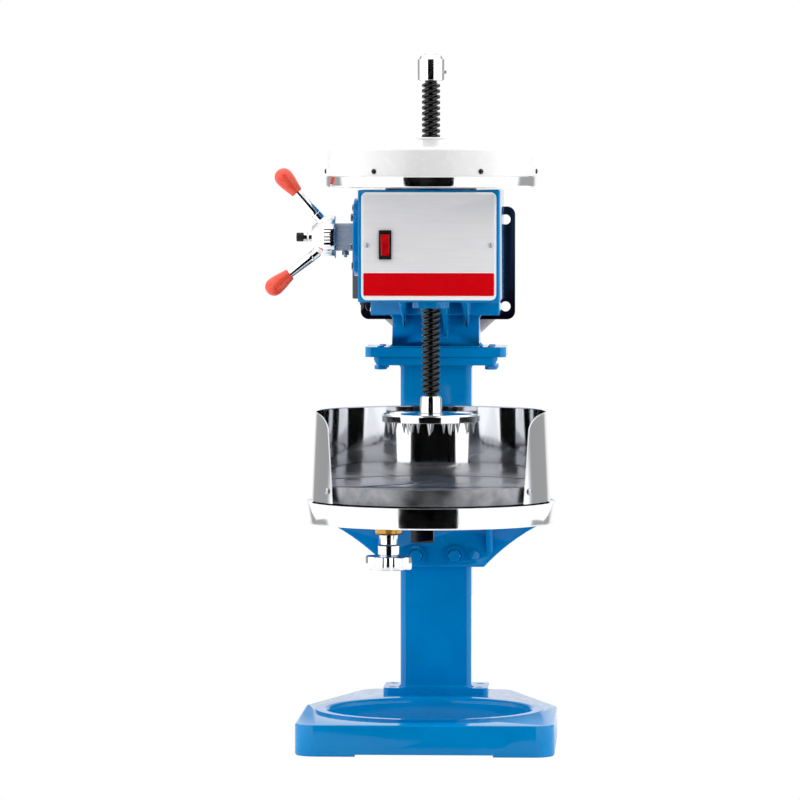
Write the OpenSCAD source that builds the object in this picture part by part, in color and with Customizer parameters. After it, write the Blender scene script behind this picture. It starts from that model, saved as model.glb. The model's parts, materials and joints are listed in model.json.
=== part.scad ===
// Block ice shaver. A driven screw spindle presses a spiked disc on to a block of ice,
// which turns over a blade set in a round table. A bowl stands in the base below.
// Millimetres. X to the right, Y to the back, Z up. The origin is the centre of the
// round opening in the base, on the plane of the floor.

/* [Base] */
// Width of the base casting
base_w = 358; // [330:1:440]
// From the centre of the opening to the front edge
base_front = 205; // [180:1:260]
// From the centre of the opening to the back edge
base_back = 304; // [300:1:380]
// Width of the base at its back edge
base_back_w = 211; // [170:1:300]
// Where the sides start to taper, behind the centre of the opening
base_taper_y = 64; // [20:1:120]
// Height of the base casting
base_h = 43.5; // [34:0.5:60]
// Wall of the base casting
base_wall = 7; // [5:0.5:10]
// Thickness of its top deck
base_deck = 7; // [5:0.5:10]
// Radius of its corners in plan
base_corner_r = 30; // [10:1:40]
// Radius of the bowl opening
opening_r = 143; // [120:0.5:146]
// Width of the raised lip round the opening
lip_w = 18.5; // [14:0.5:20]
// Height of the lip above the deck
lip_h = 3.5; // [2:0.5:8]
// Radius that rounds the inner edge of the lip
lip_round = 8; // [4:0.5:10]
// Height of the shallow arches that leave four corner feet
foot_gap_h = 3; // [2:0.5:6]

/* [Column] */
// Width of the column
column_w = 103; // [84:1:106]
// Depth of the column
column_d = 68; // [60:1:84]
// Centre of the column behind the centre of the opening
column_y = 259; // [255:1:262]
// Wall of the column
column_wall = 7; // [5:0.5:10]
// Height of the column's top face above the floor
column_top = 534; // [480:1:640]
// Width of the foot flange
foot_flange_w = 152; // [146:1:170]
// Depth of the foot flange
foot_flange_d = 89; // [80:1:92]
// Thickness of the foot flange
foot_flange_t = 10; // [8:0.5:15]
// Width of the top flange
top_flange_w = 179; // [176:1:190]
// Depth of the top flange
top_flange_d = 98; // [90:1:104]
// Thickness of the top flange
top_flange_t = 12; // [8:0.5:15]
// Diameter of the bolts that hold the frame together
frame_bolt_d = 10; // [8:1:12]

/* [Pan and table] */
// Spindle axis behind the centre of the opening
spindle_y = 45; // [44:0.5:47]
// Outer radius of the pan ring
pan_r = 176; // [172:0.5:177]
// Underside of the pan ring above the floor
pan_z = 307; // [290:1:330]
// Height of the pan ring
pan_h = 31.5; // [28:0.5:40]
// Wall of the pan ring
pan_wall = 5; // [3:0.5:6]
// Thickness of the ring's top flange
pan_flange_t = 4; // [3:0.5:6]
// Radius of the ice table
table_r = 163; // [158:0.5:163]
// Height of the ice table
table_h = 23.5; // [20:0.5:30]
// Thickness of the table's deck
table_deck = 10; // [8:0.5:12]
// Width of the table's rim wall
table_rim = 11; // [8:0.5:13]
// Width of the blade slot
slot_w = 14; // [12:0.5:16]
// Direction of the blade slot from the spindle
slot_angle = 226.5; // [215:0.5:235]
// Where the slot starts, from the spindle axis
slot_in = 26; // [22:1:34]
// Where the slot ends, from the spindle axis
slot_out = 144; // [138:1:146]

/* [Hood] */
// Outer radius of the hood at its foot
hood_r = 169.4; // [168:0.2:171]
// Outer radius of the hood at its top edge
hood_top_r = 164; // [158:0.5:168]
// Height of the hood
hood_h = 124.5; // [100:0.5:140]
// Sheet thickness of the hood
hood_t = 1.2; // [1:0.1:2]
// Width of the front opening at its foot
hood_open_w = 268; // [220:1:272]
// Width of the front opening below its top corners
hood_open_top_w = 282; // [230:1:284]
// Radius of the opening's top corners
hood_corner_r = 24; // [12:1:30]

/* [Press] */
// Outer radius of the press screw
screw_r = 13; // [11:0.5:14]
// Root radius of its thread
screw_root_r = 8.2; // [7.5:0.1:9]
// Distance from one thread crest to the next
screw_pitch = 8; // [6:0.5:10]
// Underside of the press disc above the floor
disc_z = 449; // [440:1:470]
// Radius of the press disc
disc_r = 70; // [55:1:90]
// Thickness of the press disc
disc_t = 12; // [9:0.5:16]
// Radius of the disc's hub
disc_hub_r = 15; // [13:0.5:20]
// Height of the hub above the disc
disc_hub_h = 24; // [18:1:30]
// Length of the disc's spikes
spike_l = 17; // [10:1:22]
// Radius of a spike at its root
spike_r = 4; // [3:0.5:5]
// Radius of the cap on top of the screw
cap_r = 19; // [16:0.5:22]
// Height of the cap
cap_h = 38; // [30:1:45]
// Top of the machine above the floor
cap_top = 969; // [940:1:1010]

/* [Head] */
// Width of the gearbox
head_w = 198.5; // [194:0.5:206]
// Front face of the gearbox, from the opening's centre
head_front = -35; // [-45:1:-32]
// Where the wide gearbox ends and the narrower back starts
head_step = 195; // [185:1:200]
// Back face of the head
head_back = 300; // [299:1:304]
// Width of the narrower back
rear_w = 186; // [180:1:190]
// Underside of the gearbox above the floor
head_low = 620; // [612:1:625]
// Underside of the back above the floor
rear_low = 595; // [590:1:600]
// Top face of the head above the floor
head_top = 777; // [774:1:779]
// Wall of the head
head_wall = 8; // [6:0.5:9]
// Width of the neck
neck_w = 126; // [120:1:132]
// Front face of the neck
neck_front = 222; // [219:1:226]
// Back face of the neck
neck_back = 296; // [290:1:298]
// Radius that blends the neck into what it joins
neck_fillet = 7; // [4:0.5:7]
// Width of the head's bottom flange
head_flange_w = 204; // [190:1:210]
// Thickness of the head's bottom flange
head_flange_t = 14.5; // [10:0.5:18]

/* [Panel and switch] */
// Width of the front panel
panel_w = 189; // [180:1:190]
// Underside of the panel above the floor
panel_z = 623; // [622:0.5:627]
// Height of the panel
panel_h = 151; // [140:1:152]
// Sheet thickness of the panel
panel_t = 2; // [1.5:0.1:3]
// Corner radius of the panel
panel_corner_r = 8; // [4:0.5:12]
// Width of the red stripe
stripe_w = 183; // [170:1:184]
// Height of the red stripe
stripe_h = 32; // [20:1:36]
// Centre of the switch, from the middle of the panel
switch_x = -61; // [-70:1:-40]
// Centre of the switch above the floor
switch_z = 700.5; // [696:0.5:708]
// Width of the switch bezel
bezel_w = 17.5; // [15:0.5:24]
// Height of the switch bezel
bezel_h = 41; // [34:0.5:44]
// Width of the rocker
rocker_w = 12; // [9:0.5:13]
// Height of the rocker
rocker_h = 31; // [24:0.5:32]

/* [Handle] */
// Height of the handle shaft above the floor
handle_z = 710; // [706:0.5:712]
// Radius of the handle shaft
shaft_r = 10; // [8:0.5:11]
// Radius of the round side flange
side_flange_r = 55; // [50:0.5:58]
// Thickness of the side flange
side_flange_t = 8.75; // [7:0.25:12]
// Radius of the circle of its bolts
side_bolt_circle_r = 42; // [40:0.5:45]
// Radius of the shaft sleeve
sleeve_r = 19.5; // [17:0.5:24]
// Length of the sleeve outside the flange
sleeve_l = 27; // [20:0.5:40]
// Radius of the handle hub's rim
hub_r = 30.5; // [28:0.5:36]
// Length of the hub's rim
hub_rim_l = 16; // [10:0.5:16]
// Length of the hub's cone
hub_cone_l = 17; // [16:0.5:28]
// Radius of the hub's nose
hub_nose_r = 15.5; // [14:0.5:18]
// Number of levers
lever_count = 2; // [2:1:4]
// Angle between a lever and the shaft
lever_tilt = 44; // [42:1:60]
// How much more the upper lever leans out than that, and the lower one less
lever_skew = 5; // [0:0.5:6]
// From the shaft axis, along a lever, to the tip of its knob
lever_l = 125; // [110:1:160]
// Radius of a lever at its root
lever_root_r = 7.4; // [6:0.2:8]
// Radius of a lever below its knob
lever_end_r = 6; // [5.6:0.2:7]
// Largest radius of a lever knob
knob_r = 13; // [11:0.5:18]
// Length of a lever knob
knob_l = 42; // [38:1:55]

/* [Drive] */
// Radius of the belt guard's cover
cover_r = 148; // [142:0.5:149]
// Radius of the cover round the motor pulley
cover_rear_r = 70; // [60:1:85]
// Height of the cover's side wall
cover_h = 40; // [38:1:52]
// Rise of the cover's dome
dome_h = 12.6; // [10:0.2:18]
// Sheet thickness of the cover
cover_t = 3; // [2:0.5:4]
// Radius of the tray below the cover
tray_r = 149.5; // [149.5:0.5:153]
// Height of the tray
tray_h = 16; // [12:0.5:20]
// Outer radius of the large pulley
pulley_r = 127; // [118:0.5:130]
// Outer radius of the motor pulley
motor_pulley_r = 30; // [26:0.5:40]
// Width of the drive belt
belt_w = 10; // [8:0.5:12]
// Motor axis behind the centre of the opening
motor_y = 394; // [392:1:400]
// Radius of the motor housing
motor_r = 85; // [78:0.5:85]
// Underside of the motor housing above the floor
motor_z = 585; // [575:1:600]
// Height of the motor housing
motor_h = 150; // [130:1:160]
// Height of the lower end bell
bell_h = 22; // [16:1:32]
// Radius of the end bell's lower face
bell_r = 60; // [45:1:65]

/* [Motor plate] */
// Width of the motor plate
plate_w = 226; // [220:1:240]
// Height of the motor plate
plate_h = 165; // [150:1:176]
// Thickness of the motor plate
plate_t = 6; // [4:0.5:8]
// Centre of the motor plate above the floor
plate_z = 668.5; // [660:0.5:676]
// Radius of the plate's corners
plate_corner_r = 12; // [6:0.5:16]
// Distance across the plate between its corner holes
plate_hole_x = 198; // [194:1:204]
// Distance up the plate between its corner holes
plate_hole_z = 127; // [120:1:132]
// Radius of the corner holes
plate_hole_r = 7.3; // [4:0.1:8]

/* [Blade adjuster] */
// Radius of the adjusting knob
adjuster_r = 33; // [26:0.5:36]
// Height of the adjusting knob
adjuster_h = 19; // [14:0.5:22]
// Underside of the adjusting knob above the floor
adjuster_z = 244; // [240:0.5:246]
// Distance of the adjuster from the spindle, along the slot
adjuster_at = 82.8; // [78:0.2:90]
// Thickness of the blade
blade_t = 3; // [2:0.5:4]
// Width of the blade
blade_w = 22; // [18:1:24]
// Angle of the blade to the table
blade_angle = 67; // [62:1:72]

/* [Hidden] */
$fn = 96;
corner_steps = 6;
// Clearances: a bolt in its hole, a running shaft, a piece beside a moving one
bolt_fit = 0.3;
run_fit = 0.05;
side_gap = 0.4;
face_gap = 0.3;
eps = 1;

pan_top = pan_z + pan_h;
table_z = pan_top;
table_top = table_z + table_h;
deck_z = table_top - table_deck;
disc_top = disc_z + disc_t;
screw_z = disc_top + disc_hub_h;
cap_z = cap_top - cap_h;
head_flange_z = column_top;
neck_z = head_flange_z + head_flange_t;
column_front = column_y - column_d / 2;

foot_flange_y = column_y - 1.5;
foot_bolt_x = 63;
foot_bolt_dy = 28;
top_bolt_x = 80;
top_bolt_dy = 31;
foot_bolt_l = 30;
bolt_end = 1.5;

// Pan bracket: a flared web on the column with a ring that carries the pan
web_t = 16;
web_z = 230;
web_front = column_front - web_t;
saddle_z = pan_z - 8;
flare_r = 298;
flare_x = 289.2;
flare_dz = 271.2;
bracket_bolt_x = 28;
bracket_bolt_z = 247;
bracket_boss_r = 14;
bracket_boss_t = 7;
seat_in_r = 150;
seat_r = pan_r - pan_wall - 0.5;

hood_z = pan_top;
hood_screw_z = hood_z + 17;
hood_screw_angles = [-57, 57, -150, 150];
lug_r = 5.5;

// Plain ends of the press screw, in the disc's hub and in the cap
journal_r = 7;
cap_bore_l = 20;
set_screw_r = 3;
set_screw_up = 12;
spindle_bore_r = screw_r + side_gap;
sleeve_out_r = 20;
bearing_r = 31;
bearing_h = 14;
nut_bearing_z = head_low + 12;
top_bearing_z = head_top - 28;
nut_z = nut_bearing_z + 2;
spindle_z = 742;
tray_z = head_top + 3;
tray_t = 2.5;
cover_z = tray_z + tray_h;
cover_top = cover_z + cover_h;
dome_edge_w = 2;
dome_r = cover_r - dome_edge_w;
dome_sphere_r = (dome_r * dome_r + dome_h * dome_h) / (2 * dome_h);
motor_offset = motor_y - spindle_y;
dome_steps = 16;
guard_screw_angles = [-30, 30, -90, 90];
belt_z = cover_z + 11;
belt_depth = 9;
belt_groove = 10;
pulley_web_t = 6;

wall_x = head_w / 2;
hub_x = wall_x + side_flange_t + sleeve_l;
nose_x = hub_x + hub_rim_l + hub_cone_l;
lever_apex = hub_x;
lever_seat = 26.5;
stud_l = 14;
lever_rod_l = lever_l - knob_l;
nipple_x = wall_x + side_flange_t + 13;
nipple_r = 3;
lock_pin_r = 3;
panel_screw_x = 86.5;
panel_screw_z = 700;
motor_bolt_x = 66;
motor_bolt_z = 36;
motor_foot_t = 10;
motor_shaft_r = 9;
rotor_r = 38;
rocker_tilt = 8;
rocker_y = head_front - 0.5;
pinion_teeth = 16;
gear_teeth = 24;
pinion_r = 20;
gear_r = pinion_r * gear_teeth / pinion_teeth;
gear_face = 8;
tooth_w = 2.2;
tooth_up = 1;
tooth_down = 1.5;
gear_z = handle_z - pinion_r;

stem_r = 7;
stem_hole_r = stem_r + run_fit;
collar_r = 15.3;
collar_h = 16;
neck_stem_r = 13.25;
neck_stem_h = 14;
bush_r = 19.5;
bush_h = 9;
collar_z = adjuster_z + adjuster_h;
neck_stem_z = collar_z + collar_h;
bush_z = neck_stem_z + neck_stem_h;
bridge_z = bush_z + bush_h;
carrier_top = deck_z - 3;
carrier_t = 12;
carrier_half = 20;
bridge_gap = 24;
guide_s = 14;
guide_r = 3;
scallops = 8;

blue = [0.0, 0.46, 0.74];
steel = [0.78, 0.79, 0.80];
dark = [0.06, 0.06, 0.09];

// ---------- helpers ----------

function unit(v) = v / norm(v);

// Points of one corner b, between a and c, rounded to radius r
function round_corner(a, b, c, r) =
    let(
        u = unit(a - b),
        v = unit(c - b),
        half = acos(u * v) / 2,
        mid = b + unit(u + v) * r / sin(half),
        start = b + u * r / tan(half) - mid,
        side = cross(b - a, c - b) > 0 ? 1 : -1,
        from = atan2(start[1], start[0]),
        sweep = side * (180 - 2 * half)
    )
    [for (i = [0 : corner_steps])
        mid + r * [cos(from + sweep * i / corner_steps), sin(from + sweep * i / corner_steps)]];

// A polygon with each corner rounded to its own radius
function rounded(points, radii) =
    [for (i = [0 : len(points) - 1])
        each round_corner(points[(i + len(points) - 1) % len(points)], points[i],
            points[(i + 1) % len(points)], radii[i])];

function arc(centre, r, from, to, steps) =
    [for (i = [0 : steps])
        centre + r * [cos(from + (to - from) * i / steps), sin(from + (to - from) * i / steps)]];

module rounded_rect(w, h, r) {
    square([w - 2 * r, h], center = true);
    square([w, h - 2 * r], center = true);
    for (x = [-1, 1], y = [-1, 1]) {
        translate([x * (w / 2 - r), y * (h / 2 - r)]) circle(r = r);
    }
}

// A big arc and a small one behind it, joined by their tangents
module teardrop(r, rear_r) {
    a = asin((r - rear_r) / motor_offset);
    polygon(concat(arc([0, 0], r, 180 - a, 360 + a, 72), arc([0, motor_offset], rear_r, a, 180 - a, 32)));
}

module at_spindle() {
    translate([0, spindle_y, 0]) children();
}

// Children drawn along +X point outwards at an angle from the front of the spindle
module radial(angle) {
    at_spindle() rotate([0, 0, angle - 90]) children();
}

// Children drawn along +X lie along the blade slot
module along_slot() {
    at_spindle() rotate([0, 0, slot_angle]) children();
}

// Children drawn upwards from the floor lie along the handle shaft, pointing left
module along_handle() {
    translate([0, spindle_y, handle_z]) rotate([0, -90, 0]) children();
}

// Children drawn upwards point to the front
module to_front(x, y, z) {
    translate([x, y, z]) rotate([90, 0, 0]) children();
}

module slab(x0, x1, y0, y1, z0, z1) {
    translate([x0, y0, z0]) cube([x1 - x0, y1 - y0, z1 - z0]);
}

// Hexagon-headed bolt: the head stands on z = 0 and the shank goes down
module hex_bolt(d, shank) {
    cylinder(d = 1.85 * d, h = 0.65 * d, $fn = 6);
    translate([0, 0, -shank]) cylinder(d = d, h = shank);
}

// Round-headed screw: the head stands on z = 0 and the shank goes down
module round_screw(d, head_d, head_h, shank) {
    intersection() {
        cylinder(d = head_d, h = head_h);
        translate([0, 0, head_h - head_d * 0.8]) sphere(r = head_d * 0.8);
    }
    translate([0, 0, -shank]) cylinder(d = d, h = shank);
}

module bolt_hole(d, z0, z1) {
    translate([0, 0, z0]) cylinder(d = d + 2 * bolt_fit, h = z1 - z0);
}

module at_foot_bolts() {
    for (x = [-1, 1], y = [-1, 1]) {
        translate([x * foot_bolt_x, foot_flange_y + y * foot_bolt_dy, 0]) children();
    }
}

module at_flange_bolts() {
    for (x = [-1, 1], y = [-1, 1]) {
        translate([x * top_bolt_x, column_y + y * top_bolt_dy, 0]) children();
    }
}

module at_bracket_bolts() {
    for (x = [-1, 1]) {
        to_front(x * bracket_bolt_x, web_front - bracket_boss_t, bracket_bolt_z) children();
    }
}

module at_motor_bolts() {
    for (x = [-1, 1], z = [-1, 1]) {
        translate([x * motor_bolt_x, 0, plate_z + z * motor_bolt_z]) children();
    }
}

module at_side_bolts() {
    along_handle() for (i = [0 : 5]) {
        rotate([0, 0, 60 * i + 12]) translate([side_bolt_circle_r, 0, wall_x + side_flange_t]) children();
    }
}

// ---------- base and column ----------

module base_outline(inset) {
    w = base_w / 2 - inset;
    back_w = base_back_w / 2 - inset;
    points = [[-w, inset - base_front], [w, inset - base_front], [w, base_taper_y],
        [back_w, base_back - inset], [-back_w, base_back - inset], [-w, base_taper_y]];
    r = base_corner_r - inset;
    polygon(rounded(points, [r, r, r, r, r, r]));
}

module base_casting() {
    rib_w = 7;
    boss_r = 13;
    color(blue) difference() {
        union() {
            difference() {
                linear_extrude(base_h) base_outline(0);
                translate([0, 0, -eps]) linear_extrude(base_h - base_deck + eps) base_outline(base_wall);
            }
            intersection() {
                union() {
                    cylinder(r = opening_r + base_wall, h = base_h);
                    for (a = [38, 142, 218, 322]) {
                        rotate([0, 0, a]) slab(opening_r, 260, -rib_w / 2, rib_w / 2, foot_gap_h, base_h);
                    }
                    at_foot_bolts() translate([0, 0, base_h - foot_bolt_l]) cylinder(r = boss_r, h = foot_bolt_l);
                }
                linear_extrude(base_h) base_outline(base_wall / 2);
            }
            translate([0, 0, base_h - base_deck]) cylinder(r = opening_r + lip_w, h = base_deck + lip_h);
        }
        translate([0, 0, -eps]) cylinder(r = opening_r, h = base_h + lip_h + 2 * eps);
        rotate_extrude() polygon(concat([[opening_r - 1, base_h + lip_h - lip_round]],
            arc([opening_r + lip_round, base_h + lip_h - lip_round], lip_round, 180, 90, 8),
            [[opening_r + lip_round, base_h + lip_h + 1], [opening_r - 1, base_h + lip_h + 1]]));
        at_foot_bolts() bolt_hole(frame_bolt_d, base_h - foot_bolt_l - eps, base_h + eps);
        slab(-95, 95, -base_front - eps, -base_front + base_wall + eps, -eps, foot_gap_h);
        for (x = [-1, 1]) {
            translate([x * base_w / 2, 0, 0])
                slab(-base_wall - eps, base_wall + eps, -100, 20, -eps, foot_gap_h);
        }
        slab(-50, 50, base_back - base_wall - eps, base_back + eps, -eps, foot_gap_h);
    }
}

// A post's side with a fillet at its foot and one at its top: the strip stands on y = 0
module filleted_side(w, h, r) {
    difference() {
        translate([-w / 2 - r, 0]) square([w + 2 * r, h]);
        for (x = [-1, 1]) {
            translate([x * (w / 2 + 2 * r), h / 2]) rounded_rect(4 * r, h - 2 * eps, r);
        }
    }
}

module column() {
    outer_r = 8;
    fillet = 5;
    shaft_z = base_h + foot_flange_t;
    shaft_h = column_top - top_flange_t - shaft_z;
    flange_cut = 5;
    color(blue) difference() {
        union() {
            translate([0, column_y, base_h]) linear_extrude(column_top - base_h)
                rounded_rect(column_w, column_d, outer_r);
            to_front(0, column_y + column_d / 2 - outer_r, shaft_z - eps) linear_extrude(column_d - 2 * outer_r)
                filleted_side(column_w, shaft_h + 2 * eps, fillet);
            translate([outer_r - column_w / 2, column_y, shaft_z - eps]) rotate([90, 0, 90])
                linear_extrude(column_w - 2 * outer_r) filleted_side(column_d, shaft_h + 2 * eps, fillet);
            translate([0, foot_flange_y, base_h]) linear_extrude(foot_flange_t)
                rounded_rect(foot_flange_w, foot_flange_d, outer_r);
            intersection() {
                translate([0, column_y, column_top - top_flange_t]) linear_extrude(top_flange_t)
                    rounded_rect(top_flange_w, top_flange_d, outer_r);
                to_front(0, column_y + top_flange_d / 2 + eps, column_top) linear_extrude(top_flange_d + 2 * eps)
                    polygon([[-top_flange_w / 2 - eps, eps], [-top_flange_w / 2 - eps, -2],
                        [flange_cut - top_flange_w / 2, -top_flange_t - eps], [top_flange_w / 2 - flange_cut, -top_flange_t - eps],
                        [top_flange_w / 2 + eps, -2], [top_flange_w / 2 + eps, eps]]);
            }
        }
        translate([0, column_y, base_h - eps]) linear_extrude(column_top - base_h + 2 * eps)
            rounded_rect(column_w - 2 * column_wall, column_d - 2 * column_wall, outer_r - column_wall / 2);
        at_foot_bolts() bolt_hole(frame_bolt_d, base_h - eps, base_h + foot_flange_t + eps);
        at_flange_bolts() bolt_hole(frame_bolt_d, column_top - top_flange_t - eps, column_top + eps);
        at_bracket_bolts() bolt_hole(frame_bolt_d, -bracket_boss_t - web_t - column_wall - eps, eps);
    }
}

module foot_bolts() {
    color(blue) at_foot_bolts() translate([0, 0, base_h - foot_bolt_l]) mirror([0, 0, 1])
        hex_bolt(frame_bolt_d, foot_bolt_l + foot_flange_t - 0.5);
}

// ---------- pan bracket, pan ring and ice table ----------

function flare_point(z) = flare_x - sqrt(flare_r * flare_r - pow(z - (saddle_z - flare_dz), 2));

module pan_bracket() {
    steps = 8;
    gusset_x = 78;
    gusset_t = 8;
    saddle_x = 158;
    edge = [for (i = [0 : steps]) let(z = web_z + (saddle_z - web_z) * i / steps) [flare_point(z), z]];
    color(blue) difference() {
        union() {
            to_front(0, column_front, 0) linear_extrude(web_t)
                polygon(concat(edge, [for (i = [steps : -1 : 0]) [-edge[i][0], edge[i][1]]]));
            difference() {
                union() {
                    slab(-saddle_x, saddle_x, column_front - 100, column_front, saddle_z, pan_z);
                    at_spindle() translate([0, 0, pan_z + 1.5]) cylinder(r = seat_r, h = pan_h - pan_flange_t - 1.5);
                    intersection() {
                        at_spindle() translate([0, 0, pan_z - 1]) cylinder(r = seat_r, h = 3);
                        slab(-saddle_x, saddle_x, column_front - 100, column_front, saddle_z, pan_top);
                    }
                }
                at_spindle() translate([0, 0, saddle_z - eps]) cylinder(r = seat_in_r, h = pan_h + 10);
            }
            for (x = [-1, 1]) {
                translate([x * gusset_x + gusset_t / 2, 0, 0]) rotate([0, -90, 0]) linear_extrude(gusset_t)
                    polygon([[web_z + 18, web_front + eps], [saddle_z + eps, web_front + eps],
                        [saddle_z + eps, web_front - 44]]);
            }
            at_bracket_bolts() translate([0, 0, -bracket_boss_t]) cylinder(r = bracket_boss_r, h = bracket_boss_t);
            to_front(2 * bracket_bolt_x, web_front, bracket_bolt_z) cylinder(r = 8, h = 2);
        }
        at_bracket_bolts() bolt_hole(frame_bolt_d, -bracket_boss_t - web_t - eps, eps);
    }
}

module bracket_bolts() {
    color(blue) at_bracket_bolts() hex_bolt(frame_bolt_d, bracket_boss_t + web_t + column_wall);
}

module pan_ring() {
    color(steel) at_spindle() rotate_extrude() polygon([
        [pan_r - pan_wall, pan_z], [pan_r, pan_z], [pan_r, pan_top], [seat_in_r, pan_top],
        [seat_in_r, pan_top - pan_flange_t], [pan_r - pan_wall, pan_top - pan_flange_t]]);
}

module blade_blank() {
    along_slot() translate([0, 0, table_top - 1]) rotate([blade_angle, 0, 0])
        slab(slot_in + 6, slot_out - 6, -blade_w + 1.5, 1.5, -blade_t / 2, blade_t / 2);
}

module at_table_screws() {
    for (a = [20, 110, 200, 290]) {
        radial(a) translate([table_r - 6, 0, table_top]) children();
    }
}

module at_hood_screws() {
    for (a = hood_screw_angles) {
        radial(a) translate([hood_r - 0.4, 0, hood_screw_z]) rotate([0, 90, 0]) children();
    }
}

module ice_table() {
    color([0.62, 0.63, 0.64]) difference() {
        union() {
            at_spindle() rotate_extrude() polygon([
                [table_r - table_rim, table_z], [table_r, table_z], [table_r, table_top],
                [0, table_top], [0, deck_z], [table_r - table_rim, deck_z]]);
            for (a = hood_screw_angles) {
                radial(a) translate([table_r - 4, 0, hood_screw_z]) rotate([0, 90, 0])
                    cylinder(r = lug_r, h = hood_r - hood_t - 1.3 - (table_r - 4));
            }
            along_slot() for (x = [slot_in + 22, slot_out - 22], s = [-1, 1]) {
                translate([x, s * guide_s, deck_z - 22]) cylinder(r = guide_r, h = 23);
            }
        }
        along_slot() slab(slot_in, slot_out, -slot_w / 2, slot_w / 2, table_z, table_top + eps);
        at_table_screws() bolt_hole(4, -table_h - eps, eps);
        at_table_screws() translate([0, 0, -4]) cylinder(r = 4.4, h = 4 + eps);
        at_hood_screws() translate([0, 0, -22]) cylinder(r = 2.6, h = 30);
    }
}

module table_screws() {
    color(steel) at_table_screws() translate([0, 0, -4]) {
        cylinder(r = 4.2, h = 3.6);
        translate([0, 0, -12]) cylinder(r = 2, h = 12);
    }
}

module blade_carrier() {
    lug_half = 15;
    color(steel) difference() {
        along_slot() union() {
            slab(slot_in + 8, slot_out - 8, -carrier_half, carrier_half, carrier_top - carrier_t, carrier_top);
            slab(adjuster_at - lug_half, adjuster_at + lug_half, -carrier_half, carrier_half,
                carrier_top - carrier_t - 10, carrier_top - carrier_t + eps);
        }
        along_slot() slab(slot_in + 14, slot_out - 14, -3, 9, carrier_top - carrier_t, carrier_top + eps);
        blade_blank();
        along_slot() translate([adjuster_at, 0, 0]) cylinder(r = stem_hole_r, h = carrier_top + eps);
        along_slot() for (x = [slot_in + 22, slot_out - 22], s = [-1, 1]) {
            translate([x, s * guide_s, 0]) cylinder(r = guide_r + run_fit, h = carrier_top + eps);
        }
    }
}

module blade() {
    color([0.85, 0.86, 0.88]) difference() {
        blade_blank();
        along_slot() translate([adjuster_at, 0, 0]) cylinder(r = stem_hole_r, h = carrier_top - 4);
        along_slot() for (x = [slot_in + 22, slot_out - 22], s = [-1, 1]) {
            translate([x, s * guide_s, 0]) cylinder(r = guide_r + run_fit, h = carrier_top + eps);
        }
    }
}

module adjuster_bridge() {
    leg_t = 8;
    bar_t = 10;
    half_l = 18;
    color([0.62, 0.63, 0.64]) along_slot() difference() {
        union() {
            for (s = [-1, 1]) {
                translate([0, s * (bridge_gap + leg_t / 2), 0])
                    slab(adjuster_at - half_l, adjuster_at + half_l, -leg_t / 2, leg_t / 2, bridge_z, deck_z);
            }
            slab(adjuster_at - half_l, adjuster_at + half_l, -bridge_gap - leg_t, bridge_gap + leg_t,
                bridge_z, bridge_z + bar_t);
        }
        translate([adjuster_at, 0, bridge_z - eps]) cylinder(r = 12, h = bar_t + 2 * eps);
    }
}

module adjuster_bush() {
    color([0.72, 0.55, 0.25]) along_slot() translate([adjuster_at, 0, bush_z]) difference() {
        union() {
            cylinder(r = bush_r, h = bush_h);
            cylinder(r = 12, h = bush_h + 10);
        }
        translate([0, 0, -eps]) cylinder(r = stem_hole_r, h = bush_h + 10 + 2 * eps);
    }
}

module adjuster_stem() {
    color(steel) along_slot() translate([adjuster_at, 0, 0]) {
        translate([0, 0, adjuster_z + 6]) cylinder(r = stem_r, h = carrier_top - carrier_t - adjuster_z - 8);
        translate([0, 0, neck_stem_z]) cylinder(r = neck_stem_r, h = neck_stem_h - face_gap);
    }
}

module adjuster_collar() {
    color(steel) along_slot() translate([adjuster_at, 0, collar_z]) difference() {
        cylinder(r = collar_r, h = collar_h);
        translate([0, 0, -eps]) cylinder(r = stem_r, h = collar_h + 2 * eps);
    }
}

module adjuster_knob() {
    scallop_r = 9;
    scallop_depth = 3;
    color(steel) along_slot() translate([adjuster_at, 0, adjuster_z]) difference() {
        cylinder(r = adjuster_r, h = adjuster_h);
        translate([0, 0, 6]) cylinder(r = stem_r, h = adjuster_h);
        for (i = [0 : scallops - 1]) {
            rotate([0, 0, 360 / scallops * i])
                translate([adjuster_r + scallop_r - scallop_depth, 0, -eps]) cylinder(r = scallop_r, h = adjuster_h + 2 * eps);
        }
    }
}

// ---------- splash hood and chute ----------

module hood_opening() {
    half = hood_open_w / 2;
    top_half = hood_open_top_w / 2;
    corner = [top_half + hood_corner_r, hood_h - hood_corner_r];
    side = concat([[half, -eps], [top_half, hood_h - hood_corner_r]],
        arc(corner, hood_corner_r, 180, 90, corner_steps), [[top_half + hood_corner_r, hood_h + eps]]);
    n = len(side) - 1;
    polygon(concat(side, [for (i = [n : -1 : 0]) [-side[i][0], side[i][1]]]));
}

module splash_hood() {
    color(steel) difference() {
        at_spindle() translate([0, 0, hood_z]) rotate_extrude() polygon([
            [hood_r - hood_t, 0], [hood_r, 0], [hood_top_r, hood_h], [hood_top_r - hood_t, hood_h]]);
        to_front(0, spindle_y, hood_z) linear_extrude(hood_r + eps) hood_opening();
        at_hood_screws() translate([0, 0, -6]) cylinder(r = 2.8, h = 12);
    }
}

module hood_screws() {
    color(steel) at_hood_screws() round_screw(5, 10, 3.2, 14);
}

module ice_chute() {
    chute_y = -40;
    chute_x0 = -25;
    chute_x1 = 7.5;
    t = 3;
    low = 283;
    color(dark) {
        slab(chute_x0, chute_x1, chute_y, chute_y + t, low, deck_z);
        slab(chute_x0, chute_x1, chute_y - 14, chute_y + t, deck_z - t, deck_z);
        slab(chute_x1 - t, chute_x1, chute_y - 14, chute_y + t, low + 4, deck_z);
    }
}

// ---------- head ----------

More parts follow.
